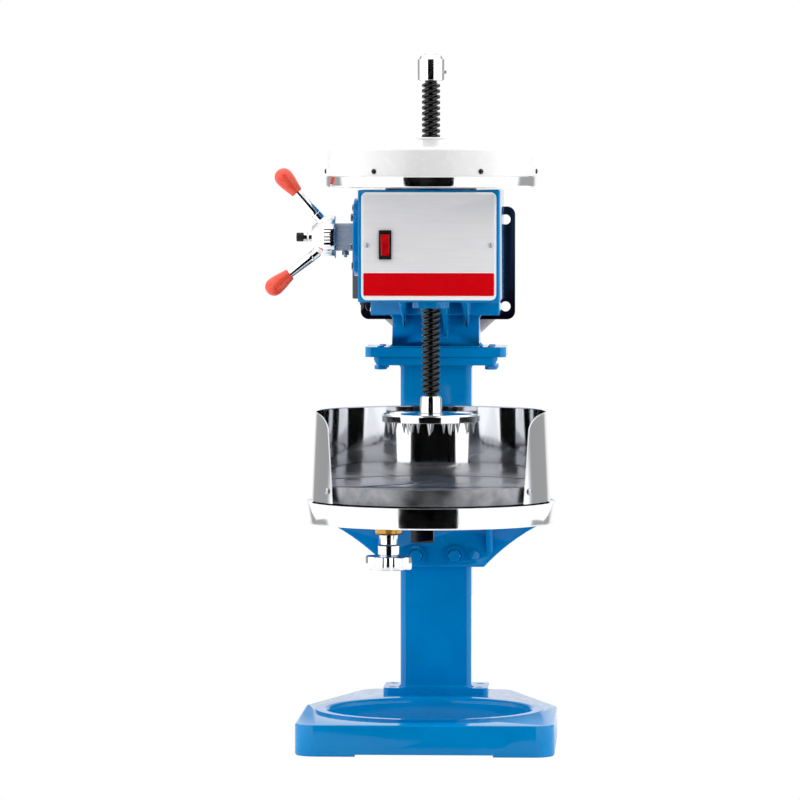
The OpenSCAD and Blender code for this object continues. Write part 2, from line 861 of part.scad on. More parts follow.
module neck_profile() {
    h = rear_low - neck_z + 2 * eps;
    difference() {
        translate([-neck_w / 2 - neck_fillet, 0]) square([neck_w + 2 * neck_fillet, h]);
        for (x = [-1, 1]) {
            translate([x * (neck_w / 2 + 2 * neck_fillet), h / 2]) rounded_rect(4 * neck_fillet, h - 2 * eps, neck_fillet);
        }
    }
}

// A cast rib under the gearbox that narrows to nothing down the front of the neck
module neck_rib(x, low) {
    rib_t = 12;
    top = head_low + eps;
    intersection() {
        translate([x + rib_t / 2, 0, 0]) rotate([0, -90, 0]) linear_extrude(rib_t)
            polygon([[low, neck_front + eps], [top, neck_front + eps],
                [top, head_step - 60], [head_low - 6, head_step - 60]]);
        to_front(x, neck_front + 1, low) linear_extrude(neck_front - head_step + 62)
            polygon([[-1, 0], [1, 0], [rib_t / 2, top - low], [-rib_t / 2, top - low]]);
    }
}

module head_casting() {
    flange_d = top_flange_d + 6;
    flange_front = column_y - flange_d / 2;
    boss_out_r = 26;
    mid_wall = head_step - head_wall;
    color(blue) difference() {
        union() {
            difference() {
                slab(-head_w / 2, head_w / 2, head_front, head_step, head_low, head_top);
                slab(-head_w / 2 + head_wall, head_w / 2 - head_wall, head_front - eps, mid_wall,
                    head_low + head_wall, head_top - head_wall);
            }
            difference() {
                slab(-rear_w / 2, rear_w / 2, head_step - eps, head_back, rear_low, head_top);
                slab(-rear_w / 2 + head_wall, rear_w / 2 - head_wall, head_step, head_back + eps,
                    rear_low + head_wall, head_top - head_wall);
            }
            to_front(0, neck_back, neck_z - eps) linear_extrude(neck_back - neck_front) neck_profile();
            translate([0, column_y, head_flange_z]) linear_extrude(head_flange_t)
                rounded_rect(head_flange_w, flange_d, 10);
            at_spindle() translate([0, 0, head_low - 10]) cylinder(r = boss_out_r, h = 10 + eps);
            at_spindle() translate([0, 0, head_low]) cylinder(r = bearing_r + 8, h = nut_bearing_z + bearing_h - head_low);
            at_spindle() translate([0, 0, top_bearing_z]) cylinder(r = bearing_r + 8, h = head_top - top_bearing_z);
            at_spindle() translate([0, 0, head_top - eps]) cylinder(r = 65, h = tray_z - head_top + eps);
            for (rib = [[-45, 30], [-15, 8], [15, 8], [45, 30]]) {
                neck_rib(rib[0], neck_z + rib[1]);
            }
            translate([neck_w / 2, 0, 0]) rotate([0, -90, 0]) linear_extrude(neck_w)
                polygon([[neck_z - eps, flange_front + 1], [neck_z - eps, neck_front + eps],
                    [neck_z + 28, neck_front + eps], [neck_z + 28, neck_front], [neck_z + 1.5, flange_front + 1]]);
            for (x = [-1, 1]) {
                to_front(x * panel_screw_x, head_front + 30, panel_screw_z) cylinder(r = 7, h = 30);
            }
            at_motor_bolts() to_front(0, head_back, 0) cylinder(r = 11, h = head_back - mid_wall - eps);
        }
        // the way down through the neck for the motor lead
        slab(-neck_w / 2 + head_wall, neck_w / 2 - head_wall, neck_front + head_wall, neck_back - head_wall,
            head_flange_z - eps, rear_low + head_wall + eps);
        at_flange_bolts() bolt_hole(frame_bolt_d, head_flange_z - eps, neck_z + eps);
        at_spindle() translate([0, 0, head_low - 11]) cylinder(r = screw_r + 3, h = 60);
        at_spindle() translate([0, 0, nut_bearing_z]) cylinder(r = bearing_r, h = bearing_h + eps);
        at_spindle() translate([0, 0, top_bearing_z - eps]) cylinder(r = bearing_r, h = bearing_h + eps);
        at_spindle() translate([0, 0, top_bearing_z]) cylinder(r = sleeve_out_r + 4, h = 40);
        along_handle() translate([0, 0, wall_x - head_wall - eps]) cylinder(r = 35, h = head_wall + 2 * eps);
        at_side_bolts() translate([0, 0, -side_flange_t - head_wall - eps]) cylinder(r = 3.2, h = head_wall + 2 * eps);
        for (x = [-1, 1]) {
            to_front(x * panel_screw_x, head_front + 16, panel_screw_z) cylinder(r = 2.3, h = 20);
        }
        at_motor_bolts() to_front(0, head_back + eps, 0) cylinder(r = 4.3, h = 30);
        to_front(40, head_step + eps, 700) cylinder(r = 9, h = head_wall + 3);
    }
}

module flange_bolts() {
    color(blue) at_flange_bolts() translate([0, 0, column_top - top_flange_t]) mirror([0, 0, 1])
        hex_bolt(frame_bolt_d, top_flange_t + head_flange_t + bolt_end);
}

// ---------- panel and switch ----------

module front_panel() {
    z_mid = panel_z + panel_h / 2;
    color([0.85, 0.86, 0.87]) difference() {
        to_front(0, head_front, z_mid) linear_extrude(panel_t) rounded_rect(panel_w, panel_h, panel_corner_r);
        to_front(switch_x, head_front + eps, switch_z) linear_extrude(panel_t + 2 * eps)
            square([bezel_w - 3, bezel_h - 3], center = true);
        for (x = [-1, 1]) {
            to_front(x * panel_screw_x, head_front + eps, panel_screw_z) cylinder(r = 2.3, h = panel_t + 2 * eps);
        }
    }
}

module panel_stripe() {
    stripe_t = 0.5;
    color([0.79, 0.0, 0.05]) to_front(0, head_front - panel_t, panel_z + 6 + stripe_h / 2)
        linear_extrude(stripe_t) rounded_rect(stripe_w, stripe_h, 2);
}

module panel_screws() {
    for (x = [-1, 1]) {
        color(dark) to_front(x * panel_screw_x, head_front - panel_t, panel_screw_z) round_screw(4, 7, 2.4, 14);
    }
}

module switch_bezel() {
    body_d = 26;
    color(dark) difference() {
        union() {
            to_front(switch_x, head_front - panel_t, switch_z) linear_extrude(2.5)
                rounded_rect(bezel_w, bezel_h, 1.5);
            to_front(switch_x, head_front + body_d, switch_z) linear_extrude(body_d + panel_t)
                square([bezel_w - 3.6, bezel_h - 3.6], center = true);
        }
        to_front(switch_x, head_front + 10, switch_z) linear_extrude(10 + panel_t + 3)
            square([rocker_w + 2 * side_gap, rocker_h + 2 * side_gap], center = true);
        rocker_pin(1.5 + run_fit, 3);
    }
}

// The pin that the rocker turns on
module rocker_pin(r, reach) {
    translate([switch_x - rocker_w / 2 - reach, rocker_y, switch_z]) rotate([0, 90, 0])
        cylinder(r = r, h = rocker_w + 2 * reach);
}

module switch_rocker() {
    bulge = 5;
    color([0.75, 0.02, 0.05]) {
        intersection() {
            translate([0, rocker_y, switch_z]) rotate([rocker_tilt, 0, 0])
                slab(switch_x - rocker_w / 2, switch_x + rocker_w / 2, -bulge, bulge / 2,
                    -rocker_h / 2, rocker_h / 2);
            translate([switch_x - rocker_w / 2, rocker_y, switch_z]) rotate([0, 90, 0])
                cylinder(r = rocker_h / 2, h = rocker_w);
        }
        rocker_pin(1.5, 2 * side_gap);
    }
}

// ---------- handle ----------

module side_flange() {
    color(blue) difference() {
        along_handle() union() {
            translate([0, 0, wall_x]) cylinder(r = side_flange_r, h = side_flange_t);
            translate([0, 0, wall_x - 6]) cylinder(r = 35 - run_fit, h = 6 + eps);
        }
        along_handle() translate([0, 0, wall_x - 7]) cylinder(r = shaft_r + 4, h = side_flange_t + 8);
        at_side_bolts() translate([0, 0, -side_flange_t - eps]) cylinder(r = 3.2, h = side_flange_t + 2 * eps);
    }
}

module side_flange_bolts() {
    color([0.45, 0.5, 0.55]) at_side_bolts() hex_bolt(6, side_flange_t + head_wall - 1);
}

module handle_sleeve() {
    color([0.54, 0.59, 0.62]) along_handle() difference() {
        union() {
            translate([0, 0, wall_x + side_flange_t]) cylinder(r = sleeve_r, h = sleeve_l - face_gap);
            translate([0, 0, wall_x - 6]) cylinder(r = shaft_r + 4, h = side_flange_t + 7);
        }
        translate([0, 0, wall_x - 7]) cylinder(r = shaft_r + run_fit, h = sleeve_l + side_flange_t + 8);
        translate([0, 0, nipple_x]) rotate([0, -90, 0]) cylinder(r = nipple_r + run_fit, h = sleeve_r + eps);
    }
}

module grease_nipple() {
    color([0.45, 0.5, 0.55]) translate([-nipple_x, spindle_y, handle_z - sleeve_r - 6]) {
        cylinder(r = 5, h = 5.7, $fn = 6);
        translate([0, 0, -3]) cylinder(r = 2.4, h = 3);
        cylinder(r = nipple_r, h = 10);
    }
}

module handle_shaft() {
    color(steel) along_handle() translate([0, 0, gear_r - gear_face]) cylinder(r = shaft_r, h = nose_x - 4 - gear_r + gear_face);
}

// Bevel gear blank with straight teeth. Its big end stands on z = 0 and it narrows upwards
module bevel_gear(big_r, teeth, other_r, shift) {
    cone_l = norm([big_r, other_r]);
    small_r = big_r * (cone_l - gear_face) / cone_l;
    h = other_r * gear_face / cone_l;
    lean = atan(big_r / other_r);
    root = tooth_down / cos(lean);
    cylinder(r1 = big_r - root, r2 = small_r - root, h = h);
    for (i = [0 : teeth - 1]) {
        rotate([0, 0, 360 / teeth * i + shift]) translate([big_r, 0, 0]) rotate([0, -lean, 0])
            slab(-tooth_down - 0.6, tooth_up, -tooth_w / 2, tooth_w / 2, 0, gear_face);
    }
}

module bevel_pinion() {
    hub_l = 10;
    color(steel) along_handle() difference() {
        union() {
            translate([0, 0, gear_r]) mirror([0, 0, 1]) bevel_gear(pinion_r, pinion_teeth, gear_r, 0);
            translate([0, 0, gear_r - 0.01]) cylinder(r = pinion_r - 4, h = hub_l);
        }
        cylinder(r = shaft_r, h = gear_r + hub_l + eps);
    }
}

module at_levers() {
    for (i = [0 : lever_count - 1]) {
        a = 360 / lever_count * i;
        along_handle() rotate([0, 0, a]) translate([0, 0, lever_apex])
            rotate([0, lever_tilt + lever_skew * cos(a), 0]) children();
    }
}

module handle_hub() {
    color(steel) difference() {
        along_handle() union() {
            translate([0, 0, hub_x]) cylinder(r = hub_r, h = hub_rim_l);
            translate([0, 0, hub_x + hub_rim_l]) cylinder(r1 = hub_r, r2 = hub_nose_r, h = hub_cone_l);
        }
        along_handle() translate([0, 0, hub_x - eps]) cylinder(r = shaft_r + run_fit, h = nose_x - 4 - hub_x + eps);
        along_handle() translate([0, 0, nose_x - 5]) cylinder(r = 4 + run_fit, h = 6);
        at_levers() translate([0, 0, lever_seat]) cylinder(r = lever_root_r + run_fit, h = 40);
    }
}

module levers() {
    color(steel) at_levers() {
        translate([0, 0, lever_seat]) cylinder(r = lever_root_r, h = 20);
        translate([0, 0, lever_seat + 20]) cylinder(r1 = lever_root_r, r2 = lever_end_r, h = lever_rod_l - lever_seat - 20);
        translate([0, 0, lever_rod_l]) cylinder(r = 4, h = stud_l);
    }
}

module lever_knobs() {
    neck_r = 8.8;
    color([0.98, 0.38, 0.32]) at_levers() difference() {
        union() {
            translate([0, 0, lever_rod_l]) cylinder(r1 = neck_r, r2 = knob_r * 0.97, h = knob_l - knob_r * 1.24);
            translate([0, 0, lever_l - knob_r]) sphere(r = knob_r);
        }
        translate([0, 0, lever_rod_l - eps]) cylinder(r = 4, h = stud_l + eps);
    }
}

module lock_stud() {
    color(steel) along_handle() difference() {
        union() {
            translate([0, 0, nose_x]) cylinder(r = 7.5, h = 12);
            translate([0, 0, nose_x - 4]) cylinder(r = 4, h = 5);
        }
        translate([0, 0, nose_x + 3]) cylinder(r = lock_pin_r + run_fit, h = 10);
    }
}

module lock_knob() {
    color(dark) along_handle() {
        translate([0, 0, nose_x + 12 + face_gap]) cylinder(r = 6.3, h = 10);
        translate([0, 0, nose_x + 4]) cylinder(r = lock_pin_r, h = 9);
    }
}

// ---------- press ----------

// One crest of the thread, from its root up to the next root
function crest(z) = [[screw_root_r, z], [screw_r, z + 0.2 * screw_pitch],
    [screw_r, z + 0.55 * screw_pitch], [screw_root_r, z + 0.75 * screw_pitch]];

module press_screw() {
    crests = floor((cap_z - screw_z - 4) / screw_pitch);
    start = screw_z + (cap_z - screw_z - crests * screw_pitch) / 2;
    keyway_w = 6.8;
    keyway_r = 9;
    color(dark) at_spindle() difference() {
        rotate_extrude() polygon(concat([[0, disc_top], [journal_r, disc_top], [journal_r, screw_z], [screw_root_r, screw_z]],
            [for (i = [0 : crests - 1]) each crest(start + i * screw_pitch)],
            [[screw_root_r, cap_z], [journal_r, cap_z], [journal_r, cap_z + cap_bore_l], [0, cap_z + cap_bore_l]]));
        slab(-keyway_w / 2, keyway_w / 2, -screw_r - eps, -keyway_r, start - eps, cap_z - 4);
    }
}

module screw_cap() {
    crown_r = 34;
    color(steel) at_spindle() difference() {
        intersection() {
            translate([0, 0, cap_z]) cylinder(r = cap_r, h = cap_h);
            translate([0, 0, cap_top - crown_r]) sphere(r = crown_r);
        }
        translate([0, 0, cap_z - eps]) cylinder(r = journal_r + run_fit, h = cap_bore_l + eps);
        translate([journal_r, 0, cap_z + set_screw_up]) rotate([0, 90, 0])
            cylinder(r = set_screw_r + run_fit, h = cap_r);
    }
}

module cap_set_screw() {
    color(steel) at_spindle() translate([journal_r, 0, cap_z + set_screw_up]) rotate([0, 90, 0])
        cylinder(r = set_screw_r, h = cap_r - 4);
}

module press_disc() {
    color(steel) at_spindle() difference() {
        union() {
            translate([0, 0, disc_z]) cylinder(r = disc_r, h = disc_t);
            translate([0, 0, disc_top - eps]) cylinder(r = disc_hub_r, h = disc_hub_h + eps);
        }
        translate([0, 0, disc_top]) cylinder(r = journal_r + run_fit, h = disc_hub_h + eps);
    }
}

module disc_spikes() {
    rings = [[18, 4], [38, 8], [60, 12]];
    color(steel) at_spindle() for (ring = rings, i = [0 : ring[1] - 1]) {
        rotate([0, 0, 360 / ring[1] * i]) translate([ring[0], 0, disc_z - spike_l])
            cylinder(r1 = 0.6, r2 = spike_r, h = spike_l);
    }
}

module spindle_sleeve() {
    color(steel) at_spindle() difference() {
        union() {
            translate([0, 0, spindle_z]) cylinder(r = sleeve_out_r - run_fit, h = belt_z + 12 - spindle_z);
            translate([0, 0, tray_z + tray_t + 4]) cylinder(r = sleeve_out_r + 3, h = 6);
        }
        translate([0, 0, spindle_z - eps]) cylinder(r = spindle_bore_r, h = 100);
        slab(-3, 3, -sleeve_out_r - eps, 0, belt_z - 12, belt_z + 13);
    }
}

module drive_key() {
    color(steel) at_spindle() slab(-3, 3, -sleeve_out_r + 0.5, -9.5, belt_z - 12, belt_z + 12);
}

module spindle_bearings() {
    color(steel) at_spindle() for (z = [nut_bearing_z, top_bearing_z]) {
        translate([0, 0, z]) difference() {
            cylinder(r = bearing_r, h = bearing_h);
            translate([0, 0, -eps]) cylinder(r = sleeve_out_r, h = bearing_h + 2 * eps);
            for (side = [0, bearing_h - 1]) {
                translate([0, 0, side]) difference() {
                    cylinder(r = 28, h = 1);
                    cylinder(r = 23, h = 1);
                }
            }
        }
    }
}

module feed_nut() {
    color([0.72, 0.55, 0.25]) at_spindle() difference() {
        union() {
            translate([0, 0, gear_z]) bevel_gear(gear_r, gear_teeth, pinion_r, 180 / gear_teeth);
            translate([0, 0, gear_z - 8]) cylinder(r = gear_r - 2, h = 8 + 0.01);
            translate([0, 0, nut_bearing_z + bearing_h + face_gap]) cylinder(r = 24, h = gear_z - nut_bearing_z - bearing_h - 4);
            translate([0, 0, nut_z]) cylinder(r = sleeve_out_r - run_fit, h = gear_z - nut_z);
        }
        translate([0, 0, nut_z - eps]) cylinder(r = spindle_bore_r, h = 80);
    }
}

// ---------- belt drive ----------

module grooved_pulley(r, bore) {
    groove_r = r - belt_groove;
    gap = 0.5;
    translate([0, 0, belt_z]) difference() {
        cylinder(r = r, h = belt_w + 8, center = true);
        difference() {
            cylinder(r = r + eps, h = belt_w + 2 * gap, center = true);
            cylinder(r = groove_r, h = belt_w + 4, center = true);
        }
        cylinder(r = bore, h = 80, center = true);
    }
}

module large_pulley() {
    recess = (belt_w + 8 - pulley_web_t) / 2;
    color([0.62, 0.63, 0.64]) at_spindle() difference() {
        union() {
            difference() {
                grooved_pulley(pulley_r, sleeve_out_r);
                for (z = [belt_z + pulley_web_t / 2, belt_z - pulley_web_t / 2 - recess - eps]) {
                    translate([0, 0, z]) difference() {
                        cylinder(r = pulley_r - belt_groove - 8, h = recess + eps);
                        cylinder(r = 34, h = recess + eps);
                    }
                }
            }
        }
        for (a = [0 : 60 : 300]) {
            rotate([0, 0, a + 30]) translate([71, 0, belt_z - 20]) cylinder(r = 22, h = 40);
        }
    }
}

module drive_belt() {
    color(dark) at_spindle() translate([0, 0, belt_z - belt_w / 2]) linear_extrude(belt_w) difference() {
        teardrop(pulley_r - 0.5, motor_pulley_r - 0.5);
        teardrop(pulley_r - belt_depth - 0.5, motor_pulley_r - belt_depth - 0.5);
    }
}

module at_guard_screws() {
    for (a = guard_screw_angles) {
        radial(a) translate([cover_r, 0, cover_z + 7]) rotate([0, 90, 0]) children();
    }
}

module guard_tray() {
    rim_t = 2;
    ear_t = 3;
    color(steel) difference() {
        union() {
            at_spindle() translate([0, 0, tray_z]) linear_extrude(tray_h)
                teardrop(tray_r, cover_rear_r + tray_r - cover_r);
            for (a = guard_screw_angles) {
                radial(a) slab(cover_r - cover_t - ear_t - 1, cover_r - cover_t - 1, -9, 9, tray_z, cover_z + 14);
            }
        }
        difference() {
            at_spindle() translate([0, 0, tray_z + tray_t]) linear_extrude(tray_h)
                teardrop(tray_r - rim_t, cover_rear_r + tray_r - cover_r - rim_t);
            for (a = guard_screw_angles) {
                radial(a) slab(cover_r - cover_t - ear_t - 1, cover_r - cover_t - 1, -9, 9, tray_z, cover_z + 14);
            }
        }
        at_spindle() translate([0, 0, tray_z - eps]) cylinder(r = sleeve_out_r + 4, h = tray_t + 2 * eps);
        translate([0, motor_y, tray_z - eps]) cylinder(r = 14, h = tray_t + 2 * eps);
        at_guard_screws() translate([0, 0, -14]) cylinder(r = 2.3, h = 20);
    }
}

// The dome's outline, from the edge of the round part to its centre
function dome_edge(inset) =
    [for (i = [0 : dome_steps])
        let(r = (dome_r - inset) * (1 - i / dome_steps))
        [r, cover_top + dome_h - inset - dome_sphere_r + sqrt(dome_sphere_r * dome_sphere_r - r * r)]];

module cover_solid(inset) {
    foot = inset > 0 ? eps : 0;
    at_spindle() {
        translate([0, 0, cover_z - foot])
            linear_extrude(cover_h - inset + foot) teardrop(cover_r - inset, cover_rear_r - inset);
        rotate_extrude() polygon(concat([[0, cover_top - inset - eps], [dome_r - inset, cover_top - inset - eps]],
            dome_edge(inset)));
    }
}

module guard_cover() {
    color([0.95, 0.95, 0.95]) difference() {
        cover_solid(0);
        cover_solid(cover_t);
        at_spindle() translate([0, 0, cover_top - 10]) cylinder(r = 17, h = 40);
        at_guard_screws() translate([0, 0, -14]) cylinder(r = 2.3, h = 20);
    }
}

module guard_screws() {
    color(dark) at_guard_screws() round_screw(4, 7.5, 2.6, 9);
}

module cover_bush() {
    dome_top = cover_top + dome_h;
    color([0.95, 0.95, 0.95]) at_spindle() difference() {
        union() {
            translate([0, 0, dome_top]) cylinder(r = 21, h = 2.6);
            translate([0, 0, dome_top - 6]) cylinder(r = 16.9, h = 6 + eps);
        }
        translate([0, 0, dome_top - 7]) cylinder(r = screw_r + 1, h = 12);
    }
}

// ---------- motor ----------

module motor_plate() {
    color(dark) difference() {
        to_front(0, head_back + plate_t, plate_z) linear_extrude(plate_t) rounded_rect(plate_w, plate_h, plate_corner_r);
        for (x = [-1, 1], z = [-1, 1]) {
            to_front(x * plate_hole_x / 2, head_back + plate_t + eps, plate_z + z * plate_hole_z / 2)
                cylinder(r = plate_hole_r, h = plate_t + 2 * eps);
        }
        at_motor_bolts() to_front(0, head_back + plate_t + eps, 0) cylinder(r = 4.3, h = plate_t + 2 * eps);
    }
}

module motor_bolts() {
    color(steel) at_motor_bolts() translate([0, head_back + plate_t + motor_foot_t, 0]) rotate([-90, 0, 0])
        hex_bolt(8, motor_foot_t + plate_t + 26);
}

module motor_housing() {
    foot_w = 2 * motor_bolt_x + 30;
    foot_h = 2 * motor_bolt_z + 30;
    ribs = 16;
    foot_y = head_back + plate_t;
    color([0.5, 0.52, 0.55]) difference() {
        union() {
            translate([0, motor_y, motor_z]) cylinder(r = motor_r - 5, h = motor_h);
            translate([0, motor_y, motor_z]) cylinder(r = motor_r, h = 12);
            translate([0, motor_y, motor_z + motor_h - 12]) cylinder(r = motor_r, h = 12);
            for (i = [0 : ribs - 1]) {
                translate([0, motor_y, 0]) rotate([0, 0, 360 / ribs * (i + 0.5)])
                    slab(motor_r - 12, motor_r - 0.5, -1.5, 1.5, motor_z + 6, motor_z + motor_h - 6);
            }
            slab(-foot_w / 2, foot_w / 2, foot_y, foot_y + motor_foot_t, plate_z - foot_h / 2, plate_z + foot_h / 2);
            for (z = [-1, 1]) {
                translate([0, 0, plate_z + z * 22])
                    slab(-foot_w / 2 + 28, foot_w / 2 - 28, foot_y, motor_y - 30, -5, 5);
            }
            translate([0, motor_y, motor_z + motor_h - eps]) cylinder(r = 34, h = 14);
        }
        translate([0, motor_y, motor_z + 6]) cylinder(r = motor_r - 12, h = motor_h - 12);
        translate([0, motor_y, motor_z - eps]) cylinder(r = motor_shaft_r + run_fit, h = motor_h + 20);
        at_motor_bolts() to_front(0, foot_y + motor_foot_t + eps, 0) cylinder(r = 4.3, h = motor_foot_t + 2 * eps);
        at_motor_bolts() translate([0, foot_y + motor_foot_t, 0]) rotate([-90, 0, 0]) cylinder(r = 10, h = 14);
    }
}

module motor_end_bell() {
    color([0.45, 0.47, 0.5]) translate([0, motor_y, motor_z - bell_h]) difference() {
        cylinder(r1 = bell_r, r2 = motor_r - 1, h = bell_h);
        translate([0, 0, 4]) cylinder(r = bell_r - 12, h = bell_h);
        for (i = [0 : 7]) {
            rotate([0, 0, 45 * i]) translate([28, 0, -eps]) cylinder(r = 6, h = 6);
        }
    }
}

module motor_stator() {
    color([0.5, 0.35, 0.2]) translate([0, motor_y, motor_z + 25]) difference() {
        cylinder(r = motor_r - 12, h = motor_h - 50);
        translate([0, 0, -eps]) cylinder(r = rotor_r + 1, h = motor_h);
    }
}

module motor_shaft() {
    color(steel) translate([0, motor_y, 0]) {
        translate([0, 0, motor_z - bell_h + 8]) cylinder(r = motor_shaft_r, h = belt_z + 12 - motor_z + bell_h - 8);
        translate([0, 0, motor_z + 30]) cylinder(r = rotor_r, h = motor_h - 60);
    }
}

module motor_pulley() {
    color(steel) translate([0, motor_y, 0]) grooved_pulley(motor_pulley_r, motor_shaft_r);
}

module terminal_box() {
    color([0.5, 0.52, 0.55]) difference() {
        slab(-127, -62, motor_y - 60, motor_y + 10, 615, 700);
        translate([0, motor_y, 600]) cylinder(r = motor_r + 0.01, h = 120);
        slab(-123, -95, motor_y - 56, motor_y + 6, 619, 696);
    }
}

module cable_gland() {
    color(dark) translate([-109, motor_y - 25, 0]) difference() {
        union() {
            translate([0, 0, 605]) cylinder(r = 9, h = 10, $fn = 6);
            translate([0, 0, 596]) cylinder(r1 = 6, r2 = 7.5, h = 9);
        }
        translate([0, 0, 595]) cylinder(r = 3.6, h = 21);
    }
}

base_casting();
column();
foot_bolts();
pan_bracket();
bracket_bolts();
pan_ring();
ice_table();
table_screws();
blade_carrier();
blade();
adjuster_bridge();
adjuster_bush();
adjuster_stem();
adjuster_collar();
adjuster_knob();
splash_hood();
hood_screws();
ice_chute();
head_casting();
flange_bolts();
front_panel();
panel_stripe();
panel_screws();
switch_bezel();
switch_rocker();
side_flange();
side_flange_bolts();
handle_sleeve();
grease_nipple();
handle_shaft();
bevel_pinion();
handle_hub();
levers();
lever_knobs();
lock_stud();
lock_knob();
press_screw();
screw_cap();
cap_set_screw();
press_disc();
disc_spikes();
spindle_sleeve();
drive_key();
spindle_bearings();
feed_nut();
large_pulley();
drive_belt();
guard_tray();
guard_cover();
guard_screws();
cover_bush();
motor_plate();
motor_bolts();
motor_housing();
motor_end_bell();
motor_stator();
motor_shaft();
motor_pulley();
terminal_box();
cable_gland();
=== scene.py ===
"""Looks of a block ice shaver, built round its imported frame.

Every size and place is read from the frame, in metres. The spindle stands on one upright axis,
and the round pieces are turned from half sections drawn about that axis or about the handle shaft.
"""

import json
import math

import bmesh
import bpy
from mathutils import Matrix, Vector

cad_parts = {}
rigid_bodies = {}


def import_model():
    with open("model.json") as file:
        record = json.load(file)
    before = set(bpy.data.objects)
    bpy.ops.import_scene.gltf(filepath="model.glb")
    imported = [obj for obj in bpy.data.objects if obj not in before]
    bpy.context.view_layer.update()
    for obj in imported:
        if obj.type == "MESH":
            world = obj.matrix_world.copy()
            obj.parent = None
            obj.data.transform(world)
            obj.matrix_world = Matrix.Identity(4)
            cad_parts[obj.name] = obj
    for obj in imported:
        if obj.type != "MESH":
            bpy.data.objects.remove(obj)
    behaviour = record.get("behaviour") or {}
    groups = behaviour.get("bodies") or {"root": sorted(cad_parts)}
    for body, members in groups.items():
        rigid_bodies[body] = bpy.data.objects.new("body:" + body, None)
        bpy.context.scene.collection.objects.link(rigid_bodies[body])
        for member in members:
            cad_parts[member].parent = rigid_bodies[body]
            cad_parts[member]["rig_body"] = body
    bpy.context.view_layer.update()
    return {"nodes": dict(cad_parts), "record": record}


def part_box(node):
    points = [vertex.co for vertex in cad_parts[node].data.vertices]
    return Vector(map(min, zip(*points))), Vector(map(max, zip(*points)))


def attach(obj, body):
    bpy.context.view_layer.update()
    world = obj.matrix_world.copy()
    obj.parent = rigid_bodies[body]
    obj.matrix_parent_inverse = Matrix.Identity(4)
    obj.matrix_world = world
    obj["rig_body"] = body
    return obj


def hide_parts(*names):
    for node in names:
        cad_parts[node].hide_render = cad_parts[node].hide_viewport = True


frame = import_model()

MM = 0.001
SLOTS = {part["node"]: part["material_slot"] for part in frame["record"]["subparts"]}


# ---------- places read from the frame ----------

def solids(node):
    """The corner points of each separate solid of a node."""
    bm = bmesh.new()
    bm.from_mesh(frame["nodes"][node].data)
    bmesh.ops.remove_doubles(bm, verts=bm.verts, dist=0.01 * MM)
    left = set(bm.verts)
    found = []
    while left:
        reached = {left.pop()}
        edge_of_search = list(reached)
        while edge_of_search:
            for edge in edge_of_search.pop().link_edges:
                for vert in edge.verts:
                    if vert not in reached:
                        reached.add(vert)
                        edge_of_search.append(vert)
        left -= reached
        found.append([vert.co.copy() for vert in reached])
    bm.free()
    return sorted(found, key=lambda points: tuple(round(sum(p[i] for p in points) / len(points), 4)
                                                  for i in range(3)))


def middle(points):
    return Vector([(min(p[i] for p in points) + max(p[i] for p in points)) / 2 for i in range(3)])


def width(node):
    low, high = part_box(node)
    return high.x - low.x


def low_z(node):
    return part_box(node)[0].z


def high_z(node):
    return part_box(node)[1].z


pan_low, pan_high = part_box("pan_ring")
SPINDLE = Vector(((pan_low.x + pan_high.x) / 2, (pan_low.y + pan_high.y) / 2, 0))
flange_low, flange_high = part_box("side_flange")
SHAFT_Z = (flange_low.z + flange_high.z) / 2
housing_low, housing_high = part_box("motor_housing")
MOTOR_Y = (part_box("motor_pulley")[0].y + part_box("motor_pulley")[1].y) / 2
# Upwards in this frame is out along the handle shaft, and its x is upwards
HANDLE = Matrix.Translation((SPINDLE.x, SPINDLE.y, SHAFT_Z)) @ Matrix.Rotation(math.radians(-90), 4, "Y")
AT_SPINDLE = Matrix.Translation(SPINDLE)


# ---------- materials ----------

def linear(code):
    """The linear colour of an sRGB hex code."""
    parts = [int(code[i:i + 2], 16) / 255 for i in (1, 3, 5)]
    return tuple(p / 12.92 if p <= 0.04045 else ((p + 0.055) / 1.055) ** 2.4 for p in parts) + (1,)


def add(tree, kind, sockets=None, **options):
    """Adds a node with its options, and gives each named socket a value or a link."""
    node = tree.nodes.new(kind)
    for name, value in options.items():
        setattr(node, name, value)
    for name, value in (sockets or {}).items():
        if isinstance(value, bpy.types.NodeSocket):
            tree.links.new(value, node.inputs[name])
        else:
            node.inputs[name].default_value = value
    return node


def finish(name, code, roughness, metallic=0.0, **extra):
    """A material with one shader, and its tree, its shader and its object coordinates."""
    material = bpy.data.materials.new(name)
    material.use_nodes = True
    tree = material.node_tree
    tree.nodes.clear()
    sockets = {"Base Color": linear(code), "Roughness": roughness, "Metallic": metallic}
    sockets.update(extra)
    shader = add(tree, "ShaderNodeBsdfPrincipled", sockets)
    add(tree, "ShaderNodeOutputMaterial", {"Surface": shader.outputs["BSDF"]})
    coords = add(tree, "ShaderNodeTexCoord").outputs["Object"]
    return material, tree, shader, coords


def noise(tree, coords, size, detail=2.0, stretch=(1, 1, 1)):
    """Soft noise whose patches are about size across, drawn out along an axis where stretch is small."""
    moved = add(tree, "ShaderNodeMapping", {"Vector": coords, "Scale": stretch})
    return add(tree, "ShaderNodeTexNoise", {"Vector": moved.outputs["Vector"], "Scale": 1 / size,
                                            "Detail": detail}).outputs["Fac"]


def spread(tree, value, low, high, start=0.3, end=0.7):
    """Maps a pattern's usual range to low and high."""
    return add(tree, "ShaderNodeMapRange", {"Value": value, "From Min": start, "From Max": end,
                                            "To Min": low, "To Max": high}).outputs["Result"]


def tinted(tree, shader, pattern, dark, light):
    """Colour that changes between two codes with a pattern."""
    mix = add(tree, "ShaderNodeMix", {0: pattern, 6: linear(dark), 7: linear(light)}, data_type="RGBA")
    tree.links.new(mix.outputs[2], shader.inputs["Base Color"])


